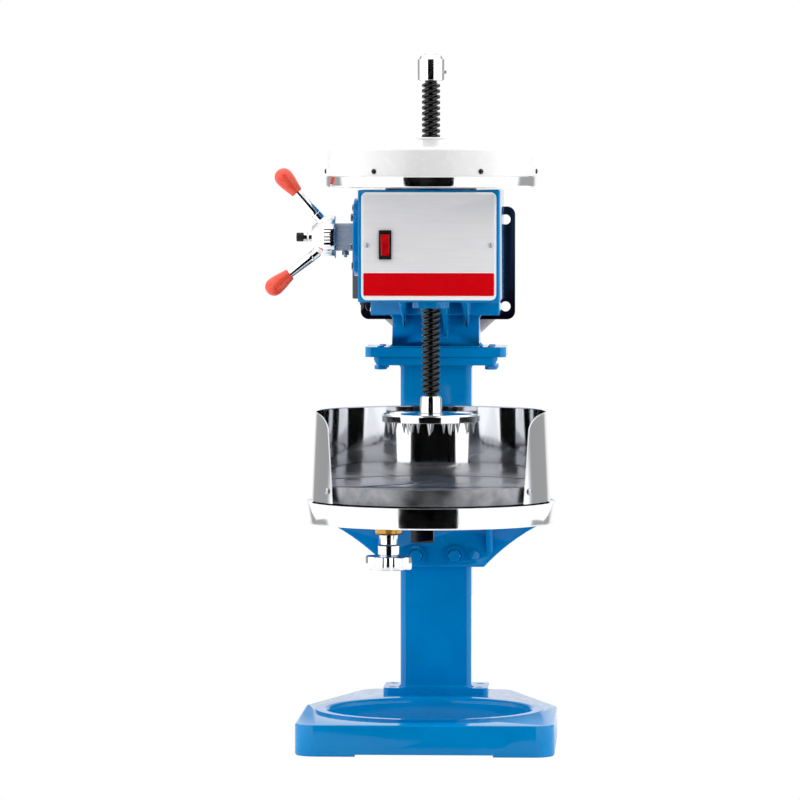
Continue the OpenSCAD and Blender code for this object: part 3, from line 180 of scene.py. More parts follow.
def relief(tree, shader, height, depth, under=None):
    """Bump of a real depth in metres."""
    sockets = {"Height": height, "Distance": depth, "Strength": 1.0}
    if under is not None:
        sockets["Normal"] = under
    bump = add(tree, "ShaderNodeBump", sockets)
    tree.links.new(bump.outputs["Normal"], shader.inputs["Normal"])
    return bump.outputs["Normal"]


def blue_enamel():
    # Gloss enamel sprayed on cast iron: smooth and wet, with the slow waves of the casting under it
    material, tree, shader, coords = finish("gloss_enamel_on_cast_iron", "#0086CA", 0.07,
                                            **{"Specular IOR Level": 0.25})
    tinted(tree, shader, spread(tree, noise(tree, coords, 70 * MM), 0, 1), "#0081C4", "#008BD0")
    cast = relief(tree, shader, noise(tree, coords, 30 * MM), 0.05 * MM)
    relief(tree, shader, noise(tree, coords, 2.2 * MM, 3), 0.004 * MM, cast)
    tree.links.new(spread(tree, noise(tree, coords, 9 * MM), 0.05, 0.1), shader.inputs["Roughness"])
    return material


def polished(name, code="#EEEFF1", roughness=0.05, handling=0.06, wave=0.0):
    # Polished and plated steel: a mirror, with faint smears from handling
    material, tree, shader, coords = finish(name, code, roughness, 1.0)
    smears = spread(tree, noise(tree, coords, 14 * MM, 4), roughness, roughness + handling)
    tree.links.new(smears, shader.inputs["Roughness"])
    if wave:
        relief(tree, shader, noise(tree, coords, 60 * MM), wave)
    return material


def stainless_sheet():
    # Bright rolled stainless sheet: a mirror that is drawn out a little along its roll
    material, tree, shader, coords = finish("bright_rolled_stainless", "#E4E5E8", 0.07, 1.0)
    lines = noise(tree, coords, 5 * MM, 3, (1, 1, 0.06))
    tree.links.new(spread(tree, lines, 0.03, 0.08), shader.inputs["Roughness"])
    relief(tree, shader, noise(tree, coords, 90 * MM), 0.03 * MM)
    return material


def turned_casting():
    # Cast aluminium, faced in a lathe: grey, with rings round the spindle and fine pores
    material, tree, shader, coords = finish("faced_cast_aluminium", "#9A9B9E", 0.36, 1.0)
    about = add(tree, "ShaderNodeMapping", {"Vector": coords, "Location": tuple(-SPINDLE)})
    rings = add(tree, "ShaderNodeTexWave", {"Vector": about.outputs["Vector"], "Scale": 20.0 / 1.6 / MM / 40,
                                            "Distortion": 0.4, "Detail": 1.0},
                wave_type="RINGS", rings_direction="Z").outputs["Fac"]
    grooves = relief(tree, shader, rings, 0.02 * MM)
    relief(tree, shader, noise(tree, coords, 1.6 * MM, 4), 0.03 * MM, grooves)
    blotches = noise(tree, coords, 26 * MM, 4)
    tinted(tree, shader, spread(tree, blotches, 0, 1), "#6C6D71", "#9C9DA1")
    tree.links.new(spread(tree, blotches, 0.3, 0.46), shader.inputs["Roughness"])
    return material


def machined_steel(name, code, roughness):
    # Ground or machined steel: satin, with short marks of the tool
    material, tree, shader, coords = finish(name, code, roughness, 1.0)
    marks = noise(tree, coords, 1.2 * MM, 3, (1, 1, 0.15))
    tree.links.new(spread(tree, marks, roughness * 0.75, roughness * 1.35), shader.inputs["Roughness"])
    relief(tree, shader, marks, 0.01 * MM)
    return material


def painted(name, code, roughness, dark, light, peel=0.012, **extra):
    # Sprayed paint on sheet or casting: an even colour with a fine orange-peel skin
    material, tree, shader, coords = finish(name, code, roughness, **extra)
    tinted(tree, shader, spread(tree, noise(tree, coords, 60 * MM), 0, 1), dark, light)
    relief(tree, shader, noise(tree, coords, 2.4 * MM, 3), peel * MM)
    tree.links.new(spread(tree, noise(tree, coords, 8 * MM, 3), roughness * 0.8, roughness * 1.25),
                   shader.inputs["Roughness"])
    return material


def panel_face():
    # Screen-printed sheet: light grey inside a white border, with a white line above the stripe
    material, tree, shader, coords = finish("printed_panel_sheet", "#EFEFF2", 0.3)
    low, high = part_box("front_panel")
    stripe_top = high_z("panel_stripe")
    border = 3.2 * MM
    line = 1.6 * MM
    split = add(tree, "ShaderNodeSeparateXYZ", {"Vector": coords})

    def inside(axis, start, end):
        centred = add(tree, "ShaderNodeMath", {0: split.outputs[axis], 1: (start + end) / 2}, operation="SUBTRACT")
        off = add(tree, "ShaderNodeMath", {0: centred.outputs[0]}, operation="ABSOLUTE")
        return add(tree, "ShaderNodeMath", {0: off.outputs[0], 1: (end - start) / 2}, operation="LESS_THAN")

    across = inside("X", low.x + border, high.x - border)
    up = inside("Z", stripe_top + line, high.z - border)
    grey = add(tree, "ShaderNodeMath", {0: across.outputs[0], 1: up.outputs[0]}, operation="MULTIPLY")
    brushed = spread(tree, noise(tree, coords, 3 * MM, 3, (0.05, 1, 1)), 0, 1)
    field = add(tree, "ShaderNodeMix", {0: brushed, 6: linear("#EDEDF0"), 7: linear("#F2F2F5")}, data_type="RGBA")
    mix = add(tree, "ShaderNodeMix", {0: grey.outputs[0], 6: linear("#FFFFFF"), 7: field.outputs[2]},
              data_type="RGBA")
    tree.links.new(mix.outputs[2], shader.inputs["Base Color"])
    relief(tree, shader, noise(tree, coords, 1.5 * MM, 2), 0.002 * MM)
    return material


def moulded(name, code, roughness, dark, light, **extra):
    # Moulded plastic: an even colour, a soft shine and the fine texture of its mould
    material, tree, shader, coords = finish(name, code, roughness, **extra)
    tinted(tree, shader, spread(tree, noise(tree, coords, 12 * MM, 2), 0, 1), dark, light)
    relief(tree, shader, noise(tree, coords, 1.1 * MM, 3), 0.006 * MM)
    return material


def windings():
    # Enamelled copper wire round a laminated core: thin rings up the core
    material, tree, shader, coords = finish("enamelled_copper_winding", "#9A5A2E", 0.35, 0.8)
    rings = add(tree, "ShaderNodeTexWave", {"Vector": coords, "Scale": 20.0 / 1.5 / MM / 40},
                wave_type="BANDS", bands_direction="Z").outputs["Fac"]
    tinted(tree, shader, rings, "#5E3418", "#B87040")
    relief(tree, shader, rings, 0.2 * MM)
    return material


FINISHES = {
    "blue_enamel": blue_enamel(),
    "polished_steel": polished("polished_chrome_plate"),
    "stainless_sheet": stainless_sheet(),
    "cast_aluminium": turned_casting(),
    "brass": machined_steel("turned_brass", "#C79A4A", 0.24),
    "tool_steel": machined_steel("ground_tool_steel", "#C6C8CC", 0.22),
    "zinc_fasteners": machined_steel("bright_zinc_plate", "#B8BBC0", 0.26),
    "black_oxide": painted("oiled_black_oxide", "#040304", 0.16, "#020202", "#070608", 0.01),
    "black_enamel": painted("gloss_black_paint", "#04020F", 0.16, "#030210", "#070518"),
    "grey_enamel": painted("satin_grey_paint", "#A6ADB6", 0.36, "#9EA5AE", "#B0B7C0"),
    "motor_enamel": painted("dark_grey_paint", "#4A4B56", 0.3, "#444550", "#50525C"),
    "panel_white": panel_face(),
    "stripe_red": painted("gloss_red_film", "#DC000E", 0.2, "#D8000D", "#E00412", 0.003),
    "black_plastic": moulded("moulded_black_nylon", "#0B0B0D", 0.38, "#08080A", "#111114"),
    "rocker_red": moulded("clear_red_acrylic", "#C40A12", 0.12, "#A8050C", "#DC1418",
                          **{"Coat Weight": 0.8, "Coat Roughness": 0.03}),
    "knob_red": moulded("moulded_phenolic_knob", "#EE4D38", 0.2, "#E84531", "#F25A45"),
    "cover_white": painted("gloss_white_paint", "#F0F0F0", 0.24, "#EEEEEE", "#F4F4F4", 0.006),
    "belt_rubber": moulded("fabric_faced_rubber", "#0D0D0E", 0.7, "#0A0A0B", "#161617"),
    "copper_iron": windings(),
}


# ---------- meshes ----------

def smooth_mesh(mesh, angle=32):
    mesh.polygons.foreach_set("use_smooth", [True] * len(mesh.polygons))
    mesh.set_sharp_from_angle(angle=math.radians(angle))


def new_object(name, mesh, material=None):
    piece = bpy.data.objects.new(name, mesh)
    bpy.context.scene.collection.objects.link(piece)
    if material is not None:
        mesh.materials.clear()
        mesh.materials.append(material)
    return piece


def settle(piece, node, angle=32):
    """Applies a piece's modifiers, shades it, and lets it stand for its node."""
    bpy.context.view_layer.update()
    mesh = bpy.data.meshes.new_from_object(piece.evaluated_get(bpy.context.evaluated_depsgraph_get()))
    piece.modifiers.clear()
    old = piece.data
    piece.data = mesh
    bpy.data.meshes.remove(old)
    mesh.name = piece.name
    smooth_mesh(mesh, angle)
    claim(piece, node)
    return piece


def claim(piece, *nodes):
    slot = SLOTS[nodes[0]]
    if not piece.data.materials:
        piece.data.materials.append(FINISHES[slot])
    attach(piece, frame["nodes"][nodes[0]]["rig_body"])
    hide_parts(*nodes)


def soften(piece, bevel, segments):
    """Rounds the marked edges, and keeps the flat faces flat in shading."""
    rounding = piece.modifiers.new("edges", "BEVEL")
    rounding.width = bevel
    rounding.segments = segments
    rounding.limit_method = "WEIGHT"
    rounding.use_clamp_overlap = False
    rounding.miter_outer = "MITER_ARC"
    flats = piece.modifiers.new("flats", "WEIGHTED_NORMAL")
    flats.keep_sharp = True


def eased(node, bevel, segments=3, material=None, angle=30):
    """A copy of a CAD node with one skin, rounded edges and smooth round faces."""
    bm = bmesh.new()
    bm.from_mesh(frame["nodes"][node].data)
    bmesh.ops.remove_doubles(bm, verts=bm.verts, dist=0.01 * MM)
    bmesh.ops.dissolve_limit(bm, angle_limit=math.radians(0.5), verts=bm.verts, edges=bm.edges)
    # Sharp edges are rounded where both faces beside them are wide enough for it
    marks = bm.edges.layers.float.new("bevel_weight_edge")
    for edge in bm.edges:
        if len(edge.link_faces) == 2 and edge.calc_face_angle() > math.radians(angle):
            if min(face.calc_area() for face in edge.link_faces) > (3.5 * bevel) ** 2:
                edge[marks] = 1.0
    mesh = bpy.data.meshes.new(node + "_finish")
    bm.to_mesh(mesh)
    bm.free()
    smooth_mesh(mesh)
    piece = new_object(node + "_finish", mesh, material or FINISHES[SLOTS[node]])
    soften(piece, bevel, segments)
    return settle(piece, node, angle)


def rounded(corners, closed):
    """A half section whose corners (radius, height, rounding) are turned to arcs."""
    steps = 5
    points = []
    count = len(corners)
    for i, (r, z, rounding) in enumerate(corners):
        here = Vector((r, z))
        ends = not closed and i in (0, count - 1)
        if ends or not rounding:
            points.append(here)
            continue
        before = (Vector(corners[i - 1][:2]) - here)
        after = (Vector(corners[(i + 1) % count][:2]) - here)
        half = before.angle(after) / 2
        cut = min(rounding / math.tan(half), before.length * 0.49, after.length * 0.49)
        radius = cut * math.tan(half)
        centre = here + (before.normalized() + after.normalized()).normalized() * radius / math.sin(half)
        start = here + before.normalized() * cut - centre
        sweep = (here + after.normalized() * cut - centre).angle_signed(start)
        for k in range(steps + 1):
            points.append(centre + Matrix.Rotation(-sweep * k / steps, 2) @ start)
    return points


def turned_mesh(name, corners, closed=False, steps=96):
    """Turns a half section of (radius, height, rounding) about the z axis."""
    profile = rounded(corners, closed)
    bm = bmesh.new()
    rings = []
    for point in profile:
        if abs(point.x) < 1e-7:
            rings.append([bm.verts.new((0, 0, point.y))] * steps)
            continue
        rings.append([bm.verts.new((point.x * math.cos(2 * math.pi * k / steps),
                                    point.x * math.sin(2 * math.pi * k / steps), point.y)) for k in range(steps)])
    pairs = list(zip(rings, rings[1:]))
    if closed:
        pairs.append((rings[-1], rings[0]))
    for a, b in pairs:
        for k in range(steps):
            n = (k + 1) % steps
            corner = []
            for vert in (a[k], a[n], b[n], b[k]):
                if vert not in corner:
                    corner.append(vert)
            if len(corner) > 2:
                bm.faces.new(corner)
    bmesh.ops.recalc_face_normals(bm, faces=bm.faces)
    mesh = bpy.data.meshes.new(name)
    bm.to_mesh(mesh)
    bm.free()
    return mesh


def turned(node, corners, where=AT_SPINDLE, closed=False, steps=96, angle=32, material=None):
    """A lathe-turned piece that stands for a node."""
    mesh = turned_mesh(node + "_finish", corners, closed, steps)
    mesh.transform(where)
    smooth_mesh(mesh, angle)
    piece = new_object(node + "_finish", mesh, material)
    claim(piece, node)
    return piece


def skin(name, rings, close_rings=True, caps=(False, False)):
    """Quads between rings of as many points each."""
    bm = bmesh.new()
    made = [[bm.verts.new(p) for p in ring] for ring in rings]
    count = len(rings[0])
    last = count if close_rings else count - 1
    for a, b in zip(made, made[1:]):
        for k in range(last):
            n = (k + 1) % count
            bm.faces.new((a[k], a[n], b[n], b[k]))
    if caps[0]:
        bm.faces.new(made[0])
    if caps[1]:
        bm.faces.new(made[-1])
    bmesh.ops.remove_doubles(bm, verts=bm.verts, dist=0.001 * MM)
    bmesh.ops.recalc_face_normals(bm, faces=bm.faces)
    mesh = bpy.data.meshes.new(name)
    bm.to_mesh(mesh)
    bm.free()
    return mesh


# ---------- what repeats ----------

def copies_tree():
    """A tree that puts one piece at every point, turned as the point says."""
    tree = bpy.data.node_groups.new("copies_at_places", "GeometryNodeTree")
    face = tree.interface
    face.new_socket("Places", in_out="INPUT", socket_type="NodeSocketGeometry")
    face.new_socket("Piece", in_out="INPUT", socket_type="NodeSocketObject")
    face.new_socket("Size", in_out="INPUT", socket_type="NodeSocketFloat")
    face.new_socket("Finish", in_out="INPUT", socket_type="NodeSocketMaterial")
    face.new_socket("Geometry", in_out="OUTPUT", socket_type="NodeSocketGeometry")
    given = add(tree, "NodeGroupInput").outputs
    piece = add(tree, "GeometryNodeObjectInfo", {"Object": given["Piece"]})
    turn = add(tree, "GeometryNodeInputNamedAttribute", {"Name": "turn"}, data_type="FLOAT_VECTOR")
    put = add(tree, "GeometryNodeInstanceOnPoints", {
        "Points": given["Places"], "Instance": piece.outputs["Geometry"],
        "Rotation": turn.outputs["Attribute"], "Scale": given["Size"]})
    real = add(tree, "GeometryNodeRealizeInstances", {"Geometry": put.outputs["Instances"]})
    painted_copies = add(tree, "GeometryNodeSetMaterial", {"Geometry": real.outputs["Geometry"],
                                                         "Material": given["Finish"]})
    add(tree, "NodeGroupOutput", {"Geometry": painted_copies.outputs["Geometry"]})
    return tree


def bead_tree():
    """A tree that runs a round wire along the edges of a mesh."""
    tree = bpy.data.node_groups.new("wire_along_edge", "GeometryNodeTree")
    face = tree.interface
    face.new_socket("Path", in_out="INPUT", socket_type="NodeSocketGeometry")
    face.new_socket("Radius", in_out="INPUT", socket_type="NodeSocketFloat")
    face.new_socket("Sides", in_out="INPUT", socket_type="NodeSocketInt")
    face.new_socket("Finish", in_out="INPUT", socket_type="NodeSocketMaterial")
    face.new_socket("Geometry", in_out="OUTPUT", socket_type="NodeSocketGeometry")
    given = add(tree, "NodeGroupInput").outputs
    path = add(tree, "GeometryNodeMeshToCurve", {"Mesh": given["Path"]})
    section = add(tree, "GeometryNodeCurvePrimitiveCircle", {"Resolution": given["Sides"],
                                                            "Radius": given["Radius"]})
    wire = add(tree, "GeometryNodeCurveToMesh", {"Curve": path.outputs["Curve"],
                                                 "Profile Curve": section.outputs["Curve"], "Fill Caps": True})
    real = add(tree, "GeometryNodeRealizeInstances", {"Geometry": wire.outputs["Mesh"]})
    painted_wire = add(tree, "GeometryNodeSetMaterial", {"Geometry": real.outputs["Geometry"],
                                                       "Material": given["Finish"]})
    add(tree, "NodeGroupOutput", {"Geometry": painted_wire.outputs["Geometry"]})
    return tree


COPIES = copies_tree()
BEAD = bead_tree()


def run_tree(name, tree, mesh, values):
    """Runs a tree on a mesh and returns the plain mesh that it makes."""
    carrier = new_object(name + "_points", mesh)
    modifier = carrier.modifiers.new(tree.name, "NODES")
    modifier.node_group = tree
    for item in tree.interface.items_tree:
        if item.in_out == "INPUT" and item.name in values:
            modifier[item.identifier] = values[item.name]
    bpy.context.view_layer.update()
    made = bpy.data.meshes.new_from_object(carrier.evaluated_get(bpy.context.evaluated_depsgraph_get()))
    bpy.data.objects.remove(carrier)
    bpy.data.meshes.remove(mesh)
    made.name = name
    return made


def copies(name, unit, places, material):
    """A mesh with a copy of the unit mesh at each (point, Euler turn)."""
    points = bpy.data.meshes.new(name)
    points.from_pydata([p for p, _ in places], [], [])
    turn = points.attributes.new("turn", "FLOAT_VECTOR", "POINT")
    for i, (_, angles) in enumerate(places):
        turn.data[i].vector = angles
    pattern = new_object(name + "_unit", unit)
    made = run_tree(name, COPIES, points, {"Piece": pattern, "Size": 1.0, "Finish": material})
    bpy.data.objects.remove(pattern)
    return made


def fasteners(node, unit, places, material=None, angle=28):
    material = material or FINISHES[SLOTS[node]]
    mesh = copies(node + "_finish", unit, places, material)
    smooth_mesh(mesh, angle)
    piece = new_object(node + "_finish", mesh)
    claim(piece, node)
    return piece


def join_meshes(name, meshes):
    bm = bmesh.new()
    for mesh in meshes:
        bm.from_mesh(mesh)
        bpy.data.meshes.remove(mesh)
    joined = bpy.data.meshes.new(name)
    bm.to_mesh(joined)
    bm.free()
    return joined


def hex_head(flats, height, base=0.0):
    """A hexagon head with the round chamfer of a real bolt, standing on base."""
    steps = 60
    across = flats / 2
    chamfer = across * 0.94
    rings = [[], [], []]
    for k in range(steps):
        a = 2 * math.pi * k / steps
        corner = across / math.cos((a % (math.pi / 3)) - math.pi / 6)
        drop = (corner - chamfer) * math.tan(math.radians(30))
        rings[0].append((corner * math.cos(a), corner * math.sin(a), base))
        rings[1].append((corner * math.cos(a), corner * math.sin(a), base + height - drop))
        rings[2].append((chamfer * math.cos(a), chamfer * math.sin(a), base + height))
    return skin("hex_head", rings, caps=(True, True))


def hex_bolt(diameter, shank, washer=0.0):
    """A hexagon bolt: its head stands on z = 0, on a washer if it has one."""
    parts = [hex_head(1.6 * diameter, 0.65 * diameter - washer, washer)]
    if washer:
        parts.append(turned_mesh("washer", [(0, 0, 0), (diameter * 0.98, 0, 0), (diameter * 0.98, washer, washer / 3),
                                           (0, washer, 0)], steps=48))
    r = diameter / 2
    parts.append(turned_mesh("shank", [(0, -shank, 0), (r * 0.85, -shank, 0), (r, -shank + r * 0.3, 0),
                                      (r, 0, 0), (0, 0, 0)], steps=32))
    return join_meshes("hex_bolt", parts)


def cross_screw(head_r, head_h, shank_r, shank):
    """A round-headed screw with a cross recess, head up on z = 0."""
    steps = 48
    rise = [(1.0, 0.0), (1.0, 0.14), (0.97, 0.32), (0.88, 0.56), (0.72, 0.78), (0.5, 0.93), (0.34, 0.99)]
    arm = 0.15 * head_r
    rings = []
    for share, up in rise:
        rings.append([(head_r * share * math.cos(2 * math.pi * k / steps),
                       head_r * share * math.sin(2 * math.pi * k / steps), head_h * up) for k in range(steps)])
    # The recess: a cross cut a little under half of the head deep
    for reach, depth in ((0.33, 1.0), (0.32, 0.62), (0.12, 0.5)):
        ring = []
        for k in range(steps):
            a = 2 * math.pi * k / steps
            side = min(abs(math.sin(a)), abs(math.cos(a)))
            r = min(head_r * reach, arm / max(side, 0.01)) if reach > 0.2 else head_r * reach * 0.6
            ring.append((r * math.cos(a), r * math.sin(a), head_h * depth))
        rings.append(ring)
    head = skin("screw_head", rings, caps=(True, True))
    stem = turned_mesh("screw_stem", [(0, -shank, 0), (shank_r * 0.7, -shank, 0), (shank_r, -shank + shank_r, 0),
                                     (shank_r, 0, 0), (0, 0, 0)], steps=24)
    return join_meshes("cross_screw", [head, stem])


def outward_places(node, head_h):
    """Places on the outside of a round wall, one for each screw of a node, facing out."""
    found = []
    for points in solids(node):
        c = middle(points)
        out = Vector((c.x - SPINDLE.x, c.y - SPINDLE.y, 0)).normalized()
        reach = max((p - SPINDLE).dot(out) for p in points)
        seat = SPINDLE + out * (reach - head_h)
        found.append(((seat.x, seat.y, c.z), (0, math.pi / 2, math.atan2(out.y, out.x))))
    return found


# ---------- base, column and pan ----------

def frame_castings():
    eased("base_casting", 2.2 * MM, 4)
    eased("column", 1.6 * MM)
    eased("pan_bracket", 1.4 * MM)
    eased("head_casting", 2.0 * MM, 4)
    eased("side_flange", 1.2 * MM)


def frame_bolts():
    m10 = 10 * MM
    # These go in from below, heads down
    for node in ("foot_bolts", "flange_bolts"):
        low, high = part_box(node)
        seat = low.z + 6.5 * MM
        fasteners(node, hex_bolt(m10, high.z - seat, 1.5 * MM),
                  [((c.x, c.y, seat), (math.pi, 0, math.radians(12))) for c in map(middle, solids(node))])
    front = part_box("bracket_bolts")[0].y + 6.5 * MM
    fasteners("bracket_bolts", hex_bolt(m10, 30 * MM, 1.5 * MM),
              [((c.x, front, c.z), (math.pi / 2, 0, 0)) for c in map(middle, solids("bracket_bolts"))])


def pan_ring():
    r = width("pan_ring") / 2
    wall = 5 * MM
    inner = r - 26 * MM
    low, high = low_z("pan_ring"), high_z("pan_ring")
    shelf = high - 4 * MM
    turned("pan_ring", [(r - wall, low, 0.8 * MM), (r, low, 2.4 * MM), (r, high, 1.6 * MM),
                        (inner, high, 0.5 * MM), (inner, shelf, 0.5 * MM), (r - wall, shelf, 1 * MM)],
           closed=True, steps=192)


def table():
    eased("ice_table", 0.7 * MM, 3)
    seat = high_z("table_screws")
    eased("table_screws", 0.4 * MM, 2)
    eased("adjuster_bridge", 0.8 * MM)
    eased("blade_carrier", 0.5 * MM, 2)
    eased("blade", 0.15 * MM, 1)
    eased("ice_chute", 0.4 * MM, 2)
    return seat


# ---------- hood ----------

def hood():
    low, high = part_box("splash_hood")
    foot_r = -low.x - SPINDLE.x
    top_r = foot_r - 5.4 * MM
    thick = 1.2 * MM
    height = high.z - low.z
    foot_half = 134 * MM
    top_half = 141 * MM
    corner = 24 * MM
    rows = 44
    columns = 160

    def outer(z, a):
        # The bent sheet leans in at its sides and stands upright behind
        return foot_r + (top_r - foot_r) * z / height * (1 - max(0.0, -math.cos(a)) ** 1.5)

    def half_opening(z):
        straight = height - corner
        if z <= straight:
            return foot_half + (top_half - foot_half) * z / straight
        rise = min(1.0, (z - straight) / corner)
        return top_half + corner * (1 - math.sqrt(1 - rise * rise))

    heights = []
    for i in range(rows + 1):
        share = i / rows
        heights.append(height * (1 - (1 - share) ** 1.6))
    rings = []
    for z in heights:
        start = math.asin(min(1.0, half_opening(z) / outer(z, math.pi / 2)))
        ring = []
        for k in range(columns + 1):
            a = start + (2 * math.pi - 2 * start) * k / columns
            r = outer(z, a)
            ring.append((SPINDLE.x + r * math.sin(a), SPINDLE.y - r * math.cos(a), low.z + z))
        rings.append(ring)
    mesh = skin("splash_hood_finish", rings, close_rings=False)
    piece = new_object("splash_hood_finish", mesh, FINISHES["stainless_sheet"])
    # Whichever way the sheet faces, its thickness goes inwards
    outward = (mesh.polygons[0].normal.dot(mesh.polygons[0].center - SPINDLE - Vector((0, 0, low.z)))) > 0
    sheet = piece.modifiers.new("sheet", "SOLIDIFY")
    sheet.thickness = thick
    sheet.offset = -1 if outward else 1
    settle(piece, "splash_hood")
    # The folded wire edge round the opening and the top
    bead_r = 0.9 * MM
    edge = [ring[0] for ring in rings]
    edge += rings[-1][1:-1]
    edge += [ring[-1] for ring in reversed(rings)]
    inner = [Vector(p) + (SPINDLE - Vector((p[0], p[1], 0))).normalized() * thick / 2 for p in edge]
    path = bpy.data.meshes.new("hood_edge")
    path.from_pydata(inner, [(i, i + 1) for i in range(len(inner) - 1)], [])
    wire = run_tree("hood_edge", BEAD, path, {"Radius": bead_r, "Sides": 12, "Finish": FINISHES["stainless_sheet"]})
    smooth_mesh(wire, 50)
    bead = new_object("hood_edge", wire)
    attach(bead, "frame")


def small_screws():
    fasteners("hood_screws", cross_screw(5 * MM, 3.2 * MM, 2.5 * MM, 14 * MM), outward_places("hood_screws", 3.2 * MM))
    fasteners("guard_screws", cross_screw(3.75 * MM, 2.6 * MM, 2 * MM, 9 * MM), outward_places("guard_screws", 2.6 * MM))
    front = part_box("panel_screws")[0].y + 2.4 * MM
    fasteners("panel_screws", cross_screw(3.5 * MM, 2.4 * MM, 2 * MM, 14 * MM),
              [((c.x, front, c.z), (math.pi / 2, 0, 0)) for c in map(middle, solids("panel_screws"))])
    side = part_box("side_flange")[0].x
    fasteners("side_flange_bolts", hex_bolt(6 * MM, 15.7 * MM, 1 * MM),
              [((side, c.y, c.z), (0, -math.pi / 2, 0)) for c in map(middle, solids("side_flange_bolts"))])
    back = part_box("motor_bolts")[1].y - 5.2 * MM
    fasteners("motor_bolts", hex_bolt(8 * MM, 42 * MM, 1.2 * MM),
              [((c.x, back, c.z), (-math.pi / 2, 0, 0)) for c in map(middle, solids("motor_bolts"))])


# ---------- blade adjuster ----------

def adjuster():
    low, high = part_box("adjuster_knob")
    centre = Vector(((low.x + high.x) / 2, (low.y + high.y) / 2, 0))
    where = Matrix.Translation(centre)
    knob_r = 33 * MM
    grips = 8
    dip = 3 * MM
    turn = math.radians(226.5)
    edge = 1.3 * MM
    steps = 24 * grips

    def outline(inset):
        ring = []
        for k in range(steps):
            a = 2 * math.pi * k / steps
            # Eight hollows for the fingers, deepest in their middle, with rounded lands between them
            wave = max(0.0, math.cos(grips * (a - turn)))
            ring.append((knob_r - inset - dip * wave ** 0.8, a))
        return ring

    rings = []
    for inset, z in ((12 * MM, low.z), (1.6 * MM, low.z), (0.5 * MM, low.z + 0.4 * MM), (0, low.z + edge),
                     (0, high.z - edge), (0.5 * MM, high.z - 0.4 * MM), (1.6 * MM, high.z),
                     (12 * MM, high.z), (26 * MM, high.z)):
        rings.append([(centre.x + r * math.cos(a), centre.y + r * math.sin(a), z) for r, a in outline(inset)])
    mesh = skin("adjuster_knob_finish", rings, caps=(True, True))
    smooth_mesh(mesh, 40)
    claim(new_object("adjuster_knob_finish", mesh), "adjuster_knob")
    low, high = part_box("adjuster_collar")
    r = 15.3 * MM
    mid = (low.z + high.z) / 2
    turned("adjuster_collar", [(0, low.z, 0), (r - 1.4 * MM, low.z, 0.4 * MM), (r, low.z + 1.6 * MM, 0.6 * MM),
                               (r, high.z - 1.6 * MM, 0.6 * MM), (r - 1.4 * MM, high.z, 0.4 * MM), (0, high.z, 0)], where)
    low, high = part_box("adjuster_stem")
    neck = 13.25 * MM
    shaft = 7 * MM
    collar_top = high_z("adjuster_collar")
    bush_low = low_z("adjuster_bush")
    turned("adjuster_stem", [(0, low.z, 0), (shaft, low.z, 0), (shaft, collar_top, 0), (neck, collar_top, 0.4 * MM),
                             (neck, bush_low - 0.3 * MM, 0.6 * MM), (shaft, bush_low - 0.3 * MM, 0),
                             (shaft, high.z, 0.5 * MM), (0, high.z, 0)], where)
    low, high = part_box("adjuster_bush")
    r = 19.5 * MM
    step = low.z + 9 * MM
    turned("adjuster_bush", [(shaft + 0.05 * MM, low.z, 0.4 * MM), (r - 2 * MM, low.z, 1 * MM), (r, low.z + 2 * MM, 1.2 * MM),
                             (r, step, 0.8 * MM), (12 * MM, step, 0), (12 * MM, high.z, 0.5 * MM),
                             (shaft + 0.05 * MM, high.z, 0.4 * MM)], where, closed=True)


# ---------- press ----------

def press_screw():
    """A two-start screw with a keyway down its front."""
    low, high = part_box("press_screw")
    outer = (high.x - low.x) / 2
    root = 8.2 * MM
    pitch = 8 * MM
    starts = 2
    lead = pitch * starts
    journal = 7 * MM
    foot = high_z("press_disc")
    top = low_z("screw_cap")
    runout = 6 * MM
    key_half = 3.4 * MM
    key_floor = 9 * MM
    around = 72
    step = pitch / 14
    key_edge = math.asin(key_half / outer)
    angles = [key_edge + (2 * math.pi - 2 * key_edge) * k / around for k in range(around + 1)]
    angles += [2 * math.pi - key_edge * 0.98, 2 * math.pi - key_edge * 0.4,
               2 * math.pi, 2 * math.pi + key_edge * 0.4, 2 * math.pi + key_edge * 0.98]

    def crest(phase):
        # One tooth over one pitch: steep flanks, a flat crest and a narrow root, all eased
        flank_up, land, flank_down = 0.2, 0.36, 0.22
        if phase < flank_up:
            rise = phase / flank_up
        elif phase < flank_up + land:
            rise = 1.0
        elif phase < flank_up + land + flank_down:
            rise = 1 - (phase - flank_up - land) / flank_down
        else:
            rise = 0.0
        return rise * rise * (3 - 2 * rise)

    count = int((top - foot) / step)
    rings = []
    for i in range(count + 1):
        z = foot + (top - foot) * i / count
        fade = min(1.0, (z - foot) / runout, (top - z) / runout)
        ring = []
        for j, a in enumerate(angles):
            phase = ((z - foot) / pitch - a * starts / (2 * math.pi)) % 1.0
            r = root + (outer - root) * crest(phase) * max(0.0, fade)
            if j > around:
                r = min(r, key_floor / math.cos(a))
            ring.append((SPINDLE.x + r * math.sin(a), SPINDLE.y - r * math.cos(a), z))
        rings.append(ring)
    body = skin("thread", rings, caps=(True, True))
    ends = []
    for z0, z1 in ((low.z, foot + 0.5 * MM), (top - 0.5 * MM, high.z)):
        spigot = turned_mesh("spigot", [(0, z0, 0), (journal, z0, 0), (journal, z1, 0), (0, z1, 0)], steps=48)
        spigot.transform(AT_SPINDLE)
        ends.append(spigot)
    mesh = join_meshes("press_screw_finish", [body] + ends)
    smooth_mesh(mesh, 50)
    claim(new_object("press_screw_finish", mesh), "press_screw")


